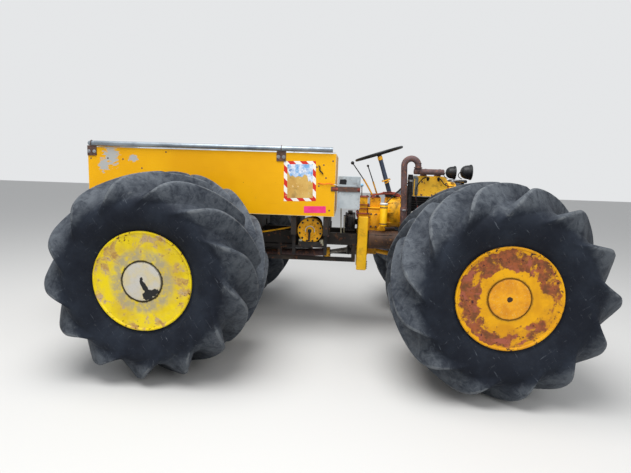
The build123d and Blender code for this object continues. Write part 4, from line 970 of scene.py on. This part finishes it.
# Headlamps: bowl and ribbed glass on a swivel foot, with a lead
lampShape = {
    "x": 1.44, "y": 0.33, "z": 1.738, "footZ": 1.6793,
    "bowl": ((-0.052, 0.012), (-0.048, 0.026), (-0.04, 0.042), (-0.026, 0.055), (-0.006, 0.064),
             (0.02, 0.0675), (0.036, 0.069), (0.037, 0.0735), (0.04, 0.0747), (0.049, 0.0747),
             (0.0515, 0.073), (0.052, 0.069), (0.048, 0.066), (0.042, 0.0655)),
    "glass": ((0.0425, 0.065), (0.047, 0.064), (0.05, 0.05), (0.0525, 0.028), (0.053, tipRadius)),
    "foot": ((0, 0.016), (0.006, 0.016), (0.008, 0.01), (0.016, 0.01)), "lead": 0.004,
}
for name, side in sides.items():
    x, y, z = spot = (lampShape["x"], side * lampShape["y"], lampShape["z"])
    lead = ((x - 0.05, y, z), (x - 0.066, y, z - 0.01), (x - 0.072, y, z - 0.05),
            (x - 0.03, y * 0.96, 1.672))
    lampParts = [makeTurned(lampShape["bowl"], spot, forward, 48),
                 makeTurned(lampShape["foot"], (x, y, lampShape["footZ"]), upward, 24),
                 makeTube(lead, lampShape["lead"])]
    bowl = finishPiece("headlamp_" + name, "blackPaint", lampParts, smooth=30)
    if side < 0:
        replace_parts(bowl, "headlamps")
    glass = makeTurned(lampShape["glass"], spot, forward, 48)
    finishPiece("headlamp_glass_" + name, "lampGlass", glass, smooth=30)

# Steering wheel: round rim, three spokes and a hub, on a two-tone column with its clamp
steerShape = {
    "foot": (0.754, 0, 1.475), "lean": 18, "reach": 0.453, "rimRadius": 0.245, "grip": 0.0125,
    "spokes": 3, "spokeMiddle": 0.14, "spokeSize": (0.206, 0.03, 0.006), "rod": 0.0065,
    "hub": ((-0.02, 0.024), (-0.006, 0.034), (0.006, 0.036), (0.012, 0.033), (0.0165, 0.02),
            (0.018, tipRadius)),
    "jacket": ((-0.02, 0.0235), (0.24, 0.0235), (0.243, 0.0225), (0.385, 0.0225)),
    "collar": ((0.386, 0.0255), (0.418, 0.0255), (0.424, 0.023)),
    "clampAt": 0.165, "clampSize": (0.088, 0.07, 0.014), "tabSize": (0.05, 0.022, 0.01),
    "boltAt": 0.172, "bolts": ((-0.034, -0.022), (0.034, -0.022), (-0.034, 0.022), (0.034, 0.022)),
    "boltSize": (0.006, 0.007, 0.009),
}
columnFoot = Vector(steerShape["foot"])
lean = radians(steerShape["lean"])
columnAxis = Vector((-sin(lean), 0, cos(lean)))
clearSelection()
bpy.ops.mesh.primitive_torus_add(major_segments=96, minor_segments=16, major_radius=steerShape["rimRadius"],
                                 minor_radius=steerShape["grip"])
steerParts = [bpy.context.object]
for index in range(steerShape["spokes"]):
    angle = radians(90 + index * 360 / steerShape["spokes"])
    along = Vector((cos(angle), sin(angle), 0))
    middle = along * steerShape["spokeMiddle"]
    steerParts.append(makeBlock(middle, steerShape["spokeSize"], 0.002, 2, (0, 0, degrees(angle))))
    steerParts.append(makeTube([along * 0.03, middle + Vector((0, 0, 0.002)), along * 0.244],
                               steerShape["rod"], 2))
steerParts.append(makeTurned(steerShape["hub"], (0, 0, 0), upward, 40))
wheel = joinPieces(steerParts)
wheelAt = Matrix.Translation(columnFoot + columnAxis * steerShape["reach"])
wheel.matrix_world = wheelAt @ Matrix.Rotation(-lean, 4, "Y")
wheel = finishPiece("steering_wheel_rim", "blackPaint", wheel, "steering_wheel_body")
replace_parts(wheel, "steering_wheel")

jacket = makeTurned(steerShape["jacket"], columnFoot, columnAxis, 36)
finishPiece("column_jacket", "columnPaint", jacket, smooth=30)
clampMiddle = columnFoot + columnAxis * steerShape["clampAt"]
tabMiddle = clampMiddle + Vector((0.01, -0.046, -0.02))
clampParts = [makeTurned(steerShape["collar"], columnFoot, columnAxis, 36),
              makeBlock(clampMiddle, steerShape["clampSize"], 0.004, 2, (0, -steerShape["lean"], 0)),
              makeBlock(tabMiddle, steerShape["tabSize"], 0.003, 2, (0, -30, 0))]
finishPiece("column_clamp", "gearPaint", clampParts)
boltMiddle = columnFoot + columnAxis * steerShape["boltAt"]
columnBolts = [boltMiddle + Vector((dx, dy, dx * 0.32)) for dx, dy in steerShape["bolts"]]
addBolts("column_bolts", "brightSteel", columnBolts, columnAxis, steerShape["boltSize"])

# Gear levers: thick painted foot, thin dark rod, knob, rubber bellows
leverShape = {
    # foot, low, high and top of each lever, and its knob's radius
    "levers": (((0.568, -0.04, 1.466), (0.5, -0.062, 1.585), (0.425, -0.085, 1.688),
                (0.34, -0.11, 1.8), 0.018),
               ((0.618, -0.04, 1.466), (0.585, -0.06, 1.555), (0.54, -0.088, 1.672),
                (0.5, -0.11, 1.775), 0.0125)),
    "footRadius": 0.0085, "rodRadius": 0.0055, "bellowsZ": 1.4495,
    "bellows": ((0, 0.026), (0.004, 0.026), (0.007, 0.021), (0.01, 0.024), (0.013, 0.019), (0.016, 0.021),
                (0.02, 0.015), (0.026, 0.011)),
}
rods, feet, bellows = [], [], []
for foot, low, high, top, knobRadius in leverShape["levers"]:
    feet.append(makeTube([foot, low, (Vector(low) + Vector(high)) / 2], leverShape["footRadius"]))
    rods += [makeTube([low, high, top], leverShape["rodRadius"]), makeKnob(top, knobRadius)]
    bellows.append(makeTurned(leverShape["bellows"], (foot[0], foot[1], leverShape["bellowsZ"]), upward, 30))
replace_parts(finishPiece("lever_rods", "blackPaint", rods), "gear_levers")
finishPiece("lever_feet", "gearPaint", feet)
finishPiece("lever_bellows", "hoseRubber", bellows)
print("controls made")

# Winch: bolted case with raised rings, boss, shaft and lever, on a pale base
winchShape = {
    "inner": (-0.058, -0.26, 1.113), "face": (-0.058, -0.4, 1.113),
    "case": ((0, 0.116), (0.008, 0.127), (0.028, 0.127), (0.032, 0.12), (0.108, 0.12), (0.112, 0.127),
             (0.134, 0.127), (0.14, 0.123), (0.14, 0.09), (0.133, 0.086), (0.133, 0.072), (0.142, 0.068),
             (0.142, 0.052), (0.136, 0.049), (0.136, 0.04), (0.144, 0.036), (0.156, 0.034), (0.159, 0.03)),
    "boltRing": 0.107, "boltSize": (0.0075, 0.006, 0.0105), "smallRing": 0.0605, "smallSize": (0.0045, 0.004),
    "arcRadius": 0.045, "arcWire": 0.0042, "hub": ((0, 0.016), (0.03, 0.016), (0.034, 0.012)),
    "baseBoltX": (-0.15, -0.095, 0.0, 0.055), "baseBoltZ": 0.974, "baseBoltSize": (0.008, 0.007, 0.012),
    "rod": ((-0.17, -0.3, 1.15), (-0.38, -0.296, 1.1), (-0.582, -0.268, 1.062)), "rodRadius": 0.008,
}
winchCase = makeTurned(winchShape["case"], winchShape["inner"], rightward, 80)
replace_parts(finishPiece("winch_case_cover", "gearPaint", winchCase, smooth=30), "winch_case")
face = Vector(winchShape["face"])
addBolts("winch_bolts", "blackPaint",
         ringPlaces(face, winchShape["boltRing"], 12, first=15), rightward, winchShape["boltSize"])
smallPlaces = ringPlaces(face + Vector((0, -0.0015, 0)), winchShape["smallRing"], 8)
addBolts("winch_small_bolts", "darkIron", smallPlaces, rightward, winchShape["smallSize"])
arc = arcPlaces(face + Vector((0, -0.002, 0)), winchShape["arcRadius"], range(-20, 201, 10))
finishPiece("winch_arc", "whitePlastic", makeTube(arc, winchShape["arcWire"], order=2))
hub = [makeTurned(winchShape["hub"], face + Vector((0, -0.018, 0)), rightward, 24)] + makeBlocks(
    (face + Vector((-0.003, -0.036, -0.05)), (0.02, 0.01, 0.104), 0.004, 3, (0, 3, 0)),
    (face + Vector((-0.003, -0.036, 0.0)), (0.036, 0.014, 0.036), 0.006, 3))
finishPiece("winch_lever", "darkIron", hub)
finishPiece("winch_base", "paleIron", makeBlocks(
    ((-0.044, -0.337, 0.9745), (0.256, 0.126, 0.026), 0.004),
    ((-0.152, -0.345, 1.003), (0.034, 0.12, 0.04), 0.005),
    ((0.058, -0.345, 1.003), (0.034, 0.12, 0.04), 0.005)))
basePlaces = [(x, -0.399, winchShape["baseBoltZ"]) for x in winchShape["baseBoltX"]]
addBolts("winch_base_bolts", "rustySteel", basePlaces, rightward, winchShape["baseBoltSize"])
finishPiece("winch_rod", "gearPaint", makeTube(winchShape["rod"], winchShape["rodRadius"]))
finishPiece("winch_rod_bracket", "framePaint",
            makeBlock((-0.585, -0.264, 1.045), (0.034, 0.012, 0.05)))
print("winch made")

# Drop case: tall cover past the right rail, worn flange layers with bolts, pipe sleeves ahead of it
caseShape = {
    # centre, size, bevel and bevel steps
    "cover": (((0.47, -0.282, 0.988), (0.102, 0.038, 0.552), 0.011, 3),
              ((0.472, -0.22, 1.168), (0.1, 0.1, 0.15), 0.008),
              ((0.472, -0.22, 0.838), (0.1, 0.1, 0.232), 0.008)),
    "ribs": [((0.524, -0.282, 0.735 + index * 0.017), (0.01, 0.026, 0.008), 0.002, 1) for index in range(5)],
    "layers": (((0.4725, 0, 1.2495), (0.134, 0.404, 0.009), 0.002),
               ((0.4725, 0, 1.283), (0.14, 0.382, 0.007), 0.002),
               ((0.4725, 0, 1.33), (0.122, 0.208, 0.008), 0.002),
               ((0.4725, 0, 1.372), (0.128, 0.216, 0.007), 0.002),
               ((0.4725, 0, 1.4545), (0.118, 0.196, 0.01), 0.003)),
    "bolts": [(x, y, 1.2865) for x in (0.42, 0.525) for y in (-0.178, -0.12, 0.12, 0.178)]
             + [(x, y, 1.459) for x in (0.43, 0.515) for y in (-0.08, 0, 0.08)],
    "boltSize": (0.0075, 0.008, 0.011),
    "sleeve": ((0, 0.088), (0.005, 0.096), (0.07, 0.096), (0.072, 0.0925), (0.24, 0.0925), (0.242, 0.096),
               (0.305, 0.096), (0.31, 0.088)),
    "sleeveAt": (0.53, 0.184, 1.02),
}
finishPiece("drop_case_cover", "casePaint", makeBlocks(*caseShape["cover"]))
finishPiece("drop_case_ribs", "darkIron", makeBlocks(*caseShape["ribs"]))
finishPiece("drop_case_layers", "redRust", makeBlocks(*caseShape["layers"]))
addBolts("drop_case_bolts", "rustySteel", caseShape["bolts"], upward, caseShape["boltSize"])
for name, side in sides.items():
    x, y, z = caseShape["sleeveAt"]
    sleeve = makeTurned(caseShape["sleeve"], (x, side * y, z), forward, 56)
    finishPiece("frame_sleeve_" + name, "brownPipe", sleeve, smooth=30)

# Gearbox, bell housing and the rusty linkage above them
bellShape = {
    "at": (0.7, 0, 1.3), "bolts": 14, "boltRing": 0.1695, "boltX": 0.858,
    "boltSize": (0.0065, 0.008, 0.0085),
    "profile": ((0, 0.124), (0.006, 0.13), (0.034, 0.15), (0.05, 0.1605), (0.155, 0.1605), (0.158, 0.178),
                (0.182, 0.178), (0.185, 0.175)),
    "ribX": 0.74, "ribRing": 0.148, "ribSize": (0.075, 0.036, 0.009), "ribAngles": range(20, 341, 40),
}
bellZ = bellShape["at"][2]
bellParts = [makeTurned(bellShape["profile"], bellShape["at"], forward, 72)]
for angle in bellShape["ribAngles"]:
    middle = arcPlaces((bellShape["ribX"], 0, bellZ), bellShape["ribRing"], [angle], "YZ")[0]
    bellParts.append(makeBlock(middle, bellShape["ribSize"], 0.003, 2, (angle, 0, 0)))
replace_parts(finishPiece("bell_cover", "gearPaint", bellParts, smooth=30), "bell_housing")
bellBolts = ringPlaces((bellShape["boltX"], 0, bellZ), bellShape["boltRing"], bellShape["bolts"], "YZ", 10)
addBolts("bell_bolts", "rustySteel", bellBolts, backward, bellShape["boltSize"])

gearboxShape = {
    "top": ((0.6125, 0, 1.343), (0.19, 0.276, 0.012), 0.004),
    "boss": ((0, 0.044), (0.01, 0.044), (0.014, 0.036), (0.022, 0.032)),
    "sideBolts": [(x, z) for x in (0.556, 0.608, 0.66) for z in (1.15, 1.28)], "sideFace": 0.1395,
    "topBolts": [(x, y, 1.3485) for x in (0.532, 0.694) for y in (-0.125, -0.045, 0.045, 0.125)],
    "sideBoltSize": (0.007, 0.007, 0.01), "topBoltSize": (0.007, 0.008, 0.01),
}
covers = makeBlocks(gearboxShape["top"])
for side in sides.values():
    covers.append(makeBlock((0.608, side * 0.133, 1.215), (0.122, 0.014, 0.15), 0.006))
    covers.append(makeTurned(gearboxShape["boss"], (0.664, side * 0.128, 1.12), (0, side, 0), 36))
    covers.append(makeBlock((0.69, side * 0.12, 1.2), (0.014, 0.026, 0.26), 0.005))
finishPiece("gearbox_covers", "gearPaint", covers)
for name, side in sides.items():
    places = [(x, side * gearboxShape["sideFace"], z) for x, z in gearboxShape["sideBolts"]]
    addBolts("gearbox_bolts_" + name, "rustySteel",
             places, (0, side, 0), gearboxShape["sideBoltSize"])
addBolts("gearbox_top_bolts", "redRust",
         gearboxShape["topBolts"], upward, gearboxShape["topBoltSize"])

linkageShape = {
    "rods": ((((0.56, -0.098, 1.474), (0.68, -0.092, 1.5), (0.835, -0.084, 1.492)), 0.0075),
             (((0.6, -0.074, 1.478), (0.7, -0.086, 1.524), (0.8, -0.07, 1.505)), 0.006),
             (((0.545, 0.06, 1.47), (0.7, 0.074, 1.5), (0.82, 0.07, 1.488)), 0.0065)),
    "blocks": (((0.568, -0.088, 1.458), (0.034, 0.044, 0.03), 0.004),
               ((0.6, 0, 1.454), (0.09, 0.15, 0.01), 0.003),
               ((0.8, -0.066, 1.492), (0.036, 0.05, 0.036), 0.005),
               ((0.8, 0.062, 1.486), (0.034, 0.04, 0.03), 0.005),
               ((0.68, -0.094, 1.502), (0.026, 0.024, 0.024), 0.005)),
    "cup": ((0, 0.03), (0.012, 0.03), (0.02, 0.02), (0.034, 0.018)), "cupAt": (0.842, 0, 1.456),
    "lever": ((0.452, -0.082, 1.458), (0.449, -0.094, 1.52), (0.447, -0.1, 1.57)), "leverRadius": 0.005,
    "knobAt": (0.447, -0.1, 1.575), "knobRadius": 0.018,
}
linkage = [makeTube(*rod) for rod in linkageShape["rods"]] + makeBlocks(*linkageShape["blocks"])
linkage.append(makeTurned(linkageShape["cup"], linkageShape["cupAt"], upward, 28))
finishPiece("gear_linkage", "redRust", linkage)
caseLever = makeTube(linkageShape["lever"], linkageShape["leverRadius"])
finishPiece("case_lever_rod", "rustySteel", caseLever)
caseKnob = makeKnob(linkageShape["knobAt"], linkageShape["knobRadius"])
finishPiece("case_lever_knob", "bluePlastic", caseKnob)

# Oil canister with its bracket, straps and cap
canisterShape = {
    "x": 0.676, "y": -0.222, "foot": 1.164, "strapZ": (1.185, 1.352), "capZ": 1.385,
    "body": ((0, 0.028), (0.006, 0.038), (0.214, 0.038), (0.221, 0.034)),
    "bracket": ((0.676, -0.158, 1.27), (0.04, 0.058, 0.04), 0.004),
    "strap": ((0, 0.036), (0.001, 0.0395), (0.011, 0.0395), (0.012, 0.036)),
    "cap": ((0, 0.0405), (0.003, 0.042), (0.014, 0.042), (0.0195, 0.037), (0.02, tipRadius)),
}


def turnedOnCanister(part, z, ring=False):
    return makeTurned(canisterShape[part], (canisterShape["x"], canisterShape["y"], z), upward, 40, ring)


canister = [turnedOnCanister("body", canisterShape["foot"]), makeBlock(*canisterShape["bracket"])]
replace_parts(finishPiece("canister_body", "casePaint", canister, smooth=30), "oil_canister")
straps = [turnedOnCanister("strap", z, ring=True) for z in canisterShape["strapZ"]]
finishPiece("canister_straps", "rustySteel", straps, smooth=30)
canisterCap = turnedOnCanister("cap", canisterShape["capZ"])
finishPiece("canister_cap", "whitePlastic", canisterCap, smooth=30)

# Ribbed breather hose with a bright clamp
hoseShape = {
    "x": 0.925, "y": -0.2283, "foot": 1.2, "ribs": 32, "pitch": 0.0142, "radius": 0.0265, "groove": 0.0225,
    "clampZ": 1.628, "clamp": ((0, 0.026), (0.001, 0.0285), (0.019, 0.0285), (0.02, 0.026)),
}
ribbed = [(0, hoseShape["radius"])]
for index in range(hoseShape["ribs"]):
    start = index * hoseShape["pitch"]
    ribbed += [(start + 0.004, hoseShape["radius"]), (start + 0.008, hoseShape["groove"]),
               (start + 0.012, hoseShape["radius"])]
ribbed += [(0.463, hoseShape["radius"]), (0.5, 0.0235)]
hose = makeTurned(ribbed, (hoseShape["x"], hoseShape["y"], hoseShape["foot"]), upward, 28)
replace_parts(finishPiece("breather_hose", "hoseRubber", hose, smooth=50), "breather")
clamp = makeTurned(hoseShape["clamp"], (hoseShape["x"], hoseShape["y"], hoseShape["clampZ"]), upward,
                   32, ring=True)
finishPiece("breather_clamp", "brightSteel", clamp, smooth=30)

# Brake drum with cooling ribs, its lever, rod and spring
brakeShape = {
    "at": (0.285, 0, 1.18),
    "drum": ((0, 0.062), (0.004, 0.066), (0.004, 0.092), (0.008, 0.1), (0.02, 0.1), (0.023, 0.094),
             (0.038, 0.094), (0.041, 0.1), (0.055, 0.1), (0.058, 0.094), (0.074, 0.094), (0.077, 0.1),
             (0.106, 0.1), (0.11, 0.096), (0.11, 0.04), (0.116, 0.03), (0.135, 0.03)),
    "lever": ((0.276, -0.235, 1.258), (0.29, -0.16, 1.262), (0.31, -0.085, 1.24)), "leverRadius": 0.007,
    "shoes": (((0.34, 0, 1.288), (0.05, 0.12, 0.02), 0.006),
              ((0.34, -0.108, 1.18), (0.05, 0.018, 0.12), 0.006)),
    "rod": ((0.241, -0.285, 1.358), (0.246, -0.268, 1.2), (0.25, -0.25, 1.078)), "rodRadius": 0.006,
    "springAt": (0.278, -0.235), "springZ": (1.078, 1.092, 1.25, 1.256),  # hook, coil's foot and top, hook
    "coils": 15, "coilRadius": 0.0085, "wire": 0.0022,
}
drum = makeTurned(brakeShape["drum"], brakeShape["at"], forward, 56)
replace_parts(finishPiece("brake_drum_ribbed", "darkIron", drum, smooth=30), "brake_drum")
brakeParts = [makeTube(brakeShape["lever"], brakeShape["leverRadius"])] + makeBlocks(*brakeShape["shoes"])
finishPiece("brake_lever", "darkIron", brakeParts)
finishPiece("brake_rod", "paleIron", makeTube(brakeShape["rod"], brakeShape["rodRadius"]))
springX, springY = brakeShape["springAt"]
lowHook, coilFoot, coilTop, highHook = brakeShape["springZ"]
spring = [(springX, springY, lowHook)]
for step in range(brakeShape["coils"] * 8 + 1):
    angle = radians(step * 45)
    spring.append((springX + brakeShape["coilRadius"] * cos(angle),
                   springY + brakeShape["coilRadius"] * sin(angle),
                   coilFoot + (coilTop - coilFoot) * step / (brakeShape["coils"] * 8)))
spring.append((springX - 0.002, springY, highHook))
finishPiece("brake_spring", "paleIron", makeTube(spring, brakeShape["wire"], order=2, fine=1))
print("gear train made")

# Engine: grey rear cowl, plug caps with their wires and a hose, dipstick, cover plates and bolts
engineShape = {
    "cowl": (((0.992, 0, 1.585), (0.062, 0.428, 0.214), 0.03, 4),
             ((1.1325, 0, 1.482), (0.34, 0.426, 0.01), 0.003)),
    "shroudBolts": ((1.045, 1.5), (1.15, 1.5), (1.285, 1.5), (1.045, 1.63), (1.285, 1.62)),
    "shroudFace": 0.2098, "shroudBoltSize": (0.006, 0.005, 0.009),
    "capX": (1.103, 1.207), "capY": -0.196, "capZ": 1.655, "capAxis": (0, -0.86, 0.5),
    "cap": ((0, 0.019), (0.005, 0.021), (0.009, 0.015), (0.03, 0.013), (0.034, 0.009)),
    "leads": ((((1.103, -0.226, 1.672), (1.072, -0.238, 1.69), (1.01, -0.236, 1.62),
                (0.981, -0.232, 1.545), (1.0, -0.234, 1.44), (1.014, -0.226, 1.333),
                (1.02, -0.196, 1.28)), 0.0048),
              (((1.207, -0.226, 1.672), (1.226, -0.242, 1.66), (1.262, -0.246, 1.606),
                (1.32, -0.236, 1.59), (1.372, -0.18, 1.6)), 0.0048),
              (((0.695, -0.222, 1.402), (0.722, -0.22, 1.43), (0.77, -0.196, 1.48),
                (0.825, -0.168, 1.538), (0.9, -0.15, 1.61), (0.966, -0.14, 1.64)), 0.0055)),
    "cable": ((0.99, -0.218, 1.478), (1.006, -0.234, 1.4), (1.022, -0.228, 1.33), (1.04, -0.202, 1.262)),
    "dipstick": ((0.965, -0.196, 1.245), (0.965, -0.222, 1.262), (0.965, -0.222, 1.3)),
    "dipstickKnob": (0.965, -0.222, 1.311),
    "fitting": ((0, 0.02), (0.006, 0.022), (0.014, 0.022), (0.018, 0.014), (0.024, 0.012)),
    "fittingAt": (1.372, -0.1, 1.63),
    "fuelPipe": ((1.372, -0.1, 1.65), (1.395, -0.1, 1.656), (1.432, -0.1, 1.656)),
    "plateBolts": [(x, z) for x in (0.97, 1.06, 1.15, 1.24) for z in (1.135, 1.245)], "plateFace": 0.209,
    "plateBoltSize": (0.008, 0.007, 0.012),
    "fanAt": (1.405, 0, 1.41), "fanRing": 0.2, "fanBolts": 10, "fanBoltSize": (0.007, 0.006, 0.011),
}
finishPiece("engine_cowl", "greyCowl", makeBlocks(*engineShape["cowl"]))
for name, side in sides.items():
    places = [(x, side * engineShape["shroudFace"], z) for x, z in engineShape["shroudBolts"]]
    addBolts("shroud_bolts_" + name, "rustySteel",
             places, (0, side, 0), engineShape["shroudBoltSize"])
plugCaps = [makeTurned(engineShape["cap"], (x, engineShape["capY"], engineShape["capZ"]),
                       engineShape["capAxis"], 24)
            for x in engineShape["capX"]]
plugCaps += [makeTube(*lead) for lead in engineShape["leads"]]
finishPiece("plug_caps", "hoseRubber", plugCaps)
finishPiece("engine_cable", "redCable", makeTube(engineShape["cable"], 0.0035))
finishPiece("dipstick_tube", "brightSteel", makeTube(engineShape["dipstick"], 0.004))
finishPiece("dipstick_knob", "whitePlastic", makeKnob(engineShape["dipstickKnob"], 0.018))
fitting = [makeTurned(engineShape["fitting"], engineShape["fittingAt"], upward, 28),
           makeTube(engineShape["fuelPipe"], 0.007)]
finishPiece("fuel_fitting", "brightSteel", fitting)
for name, side in sides.items():
    finishPiece("crankcase_plates_" + name, "darkIron", makeBlocks(
        ((1.105, side * 0.203, 1.19), (0.3, 0.012, 0.14), 0.005),
        ((1.1075, side * 0.166, 1.074), (0.4, 0.03, 0.014), 0.003)))
    places = [(x, side * engineShape["plateFace"], z) for x, z in engineShape["plateBolts"]]
    addBolts("crankcase_bolts_" + name, "rustySteel",
             places, (0, side, 0), engineShape["plateBoltSize"])
fanBolts = ringPlaces(engineShape["fanAt"], engineShape["fanRing"], engineShape["fanBolts"], "YZ", 18)
addBolts("fan_housing_bolts", "rustySteel", fanBolts, forward, engineShape["fanBoltSize"])
print("engine made")

# Frame: plates and bolts under the bearers, bumper bolts, rear axle's flange, a collar, a joint's cover
frameShape = {
    "bearerX": (-2.12, -1.66, -1.1, -0.64, -0.215, 0.1),
    "plateY": 0.2625, "plateZ": 1.09, "plateSize": (0.075, 0.006, 0.12),
    "boltX": (-0.02, 0.02), "boltY": 0.265, "boltZ": (1.05, 1.125), "boltSize": (0.009, 0.007, 0.013),
    "bumperBolts": [(1.8998, y, z) for y in (-0.26, -0.2, 0.2, 0.26) for z in (0.99, 1.05)],
    "bumperBoltSize": (0.011, 0.008, 0.016),
    "flange": ((-0.014, 0.15), (-0.014, 0.176), (0.014, 0.176), (0.014, 0.15)),
    "flangeBolts": 14, "flangeRing": 0.1695, "flangeFace": 0.014, "flangeBoltSize": (0.0065, 0.007),
    "collarAt": (0.075, 0, 0.8355), "collarAxis": (1, 0, 0.065),
    "collar": ((0, 0.0425), (0.002, 0.053), (0.01, 0.056), (0.052, 0.056), (0.06, 0.053), (0.062, 0.0425)),
    "coverAt": (0.322, 0, 0.874),
    "cover": ((0, 0.03), (0.003, 0.0525), (0.02, 0.0545), (0.024, 0.0545), (0.028, 0.046), (0.055, 0.046),
              (0.06, 0.0545), (0.085, 0.0545), (0.09, 0.03)),
}
for name, side in sides.items():
    plates = [makeBlock((x, side * frameShape["plateY"], frameShape["plateZ"]), frameShape["plateSize"],
                        0.002, 1)
              for x in frameShape["bearerX"]]
    finishPiece("bearer_plates_" + name, "framePaint", plates)
    places = [(x + dx, side * frameShape["boltY"], z)
              for x in frameShape["bearerX"] for dx in frameShape["boltX"] for z in frameShape["boltZ"]]
    addBolts("bearer_bolts_" + name, "rustySteel", places, (0, side, 0),
             frameShape["boltSize"])
addBolts("bumper_bolts", "rustySteel",
         frameShape["bumperBolts"], forward, frameShape["bumperBoltSize"])
flange = makeTurned(frameShape["flange"], wheelMiddle("rear"), leftward, 48, ring=True)
finishPiece("rear_axle_flange", "axlePaint", flange, smooth=30)
for name, side in sides.items():
    middle = Vector(wheelMiddle("rear")) + Vector((0, side * frameShape["flangeFace"], 0))
    places = ringPlaces(middle, frameShape["flangeRing"], frameShape["flangeBolts"])
    addBolts("rear_flange_bolts_" + name, "rustySteel",
             places, (0, side, 0), frameShape["flangeBoltSize"])
collar = makeTurned(frameShape["collar"], frameShape["collarAt"], frameShape["collarAxis"], 36, ring=True)
finishPiece("torque_tube_collar", "gearPaint", collar, smooth=30)
cover = makeTurned(frameShape["cover"], frameShape["coverAt"], forward, 40, ring=True)
finishPiece("rear_joint_cover", "darkIron", cover, smooth=30)
print("frame trim made")

# Camera, floor and light
photoView = {"place": (0.286, -4.89, 1.675), "turn": 3.66, "tip": 82.16, "roll": 1.87,
             "lens": 25.92, "sensor": 36}
bpy.ops.object.camera_add(location=photoView["place"])
camera = bpy.context.object
camera.name = "photoCamera"
camera.data.lens = photoView["lens"]
camera.data.sensor_width = photoView["sensor"]
camera.matrix_world = (Matrix.Translation(photoView["place"])
                       @ Matrix.Rotation(radians(photoView["turn"]), 4, "Z")
                       @ Matrix.Rotation(radians(photoView["tip"]), 4, "X")
                       @ Matrix.Rotation(radians(photoView["roll"]), 4, "Z"))
bpy.context.scene.camera = camera

clearSelection()
bpy.ops.mesh.primitive_plane_add(size=80, location=(0, 0, -0.002))
floor = bpy.context.object
floor.name = "floor"
floorMaterial = startMaterial("floorPale", 0.9)[0]
floorShader = floorMaterial.node_tree.nodes["Principled BSDF"]
floorShader.inputs["Base Color"].default_value = (0.62, 0.615, 0.6, 1)
floor.data.materials.append(floorMaterial)

skyLook = {"light": (0.8, 0.82, 0.85, 1), "backdrop": (1.06, 1.075, 1.09, 1), "strength": 0.74}
world = bpy.data.worlds.new("studio")
bpy.context.scene.world = world
world.use_nodes = True
background = world.node_tree.nodes["Background"]
fromCamera = addNode(world.node_tree, "LightPath", {}).outputs["Is Camera Ray"]
sky = blendColour(world.node_tree, fromCamera, skyLook["light"], skyLook["backdrop"])
world.node_tree.links.new(sky, background.inputs["Color"])
background.inputs["Strength"].default_value = skyLook["strength"]

lampAim = Vector((0, 0, 0.9))
lamps = {
    "topLamp": {"place": (-1.0, -2.6, 7.5), "size": 6.0, "power": 640},
    "frontLamp": {"place": (3.5, -6.5, 4.5), "size": 4.0, "power": 120},
}
for lampName, lamp in lamps.items():
    bpy.ops.object.light_add(type="AREA", location=lamp["place"])
    made = bpy.context.object
    made.name = lampName
    made.data.shape = "DISK"
    made.data.size = lamp["size"]
    made.data.energy = lamp["power"]
    made.rotation_euler = (lampAim - Vector(lamp["place"])).to_track_quat("-Z", "Y").to_euler()
bpy.context.scene.view_settings.view_transform = "Standard"

print("scene ready")
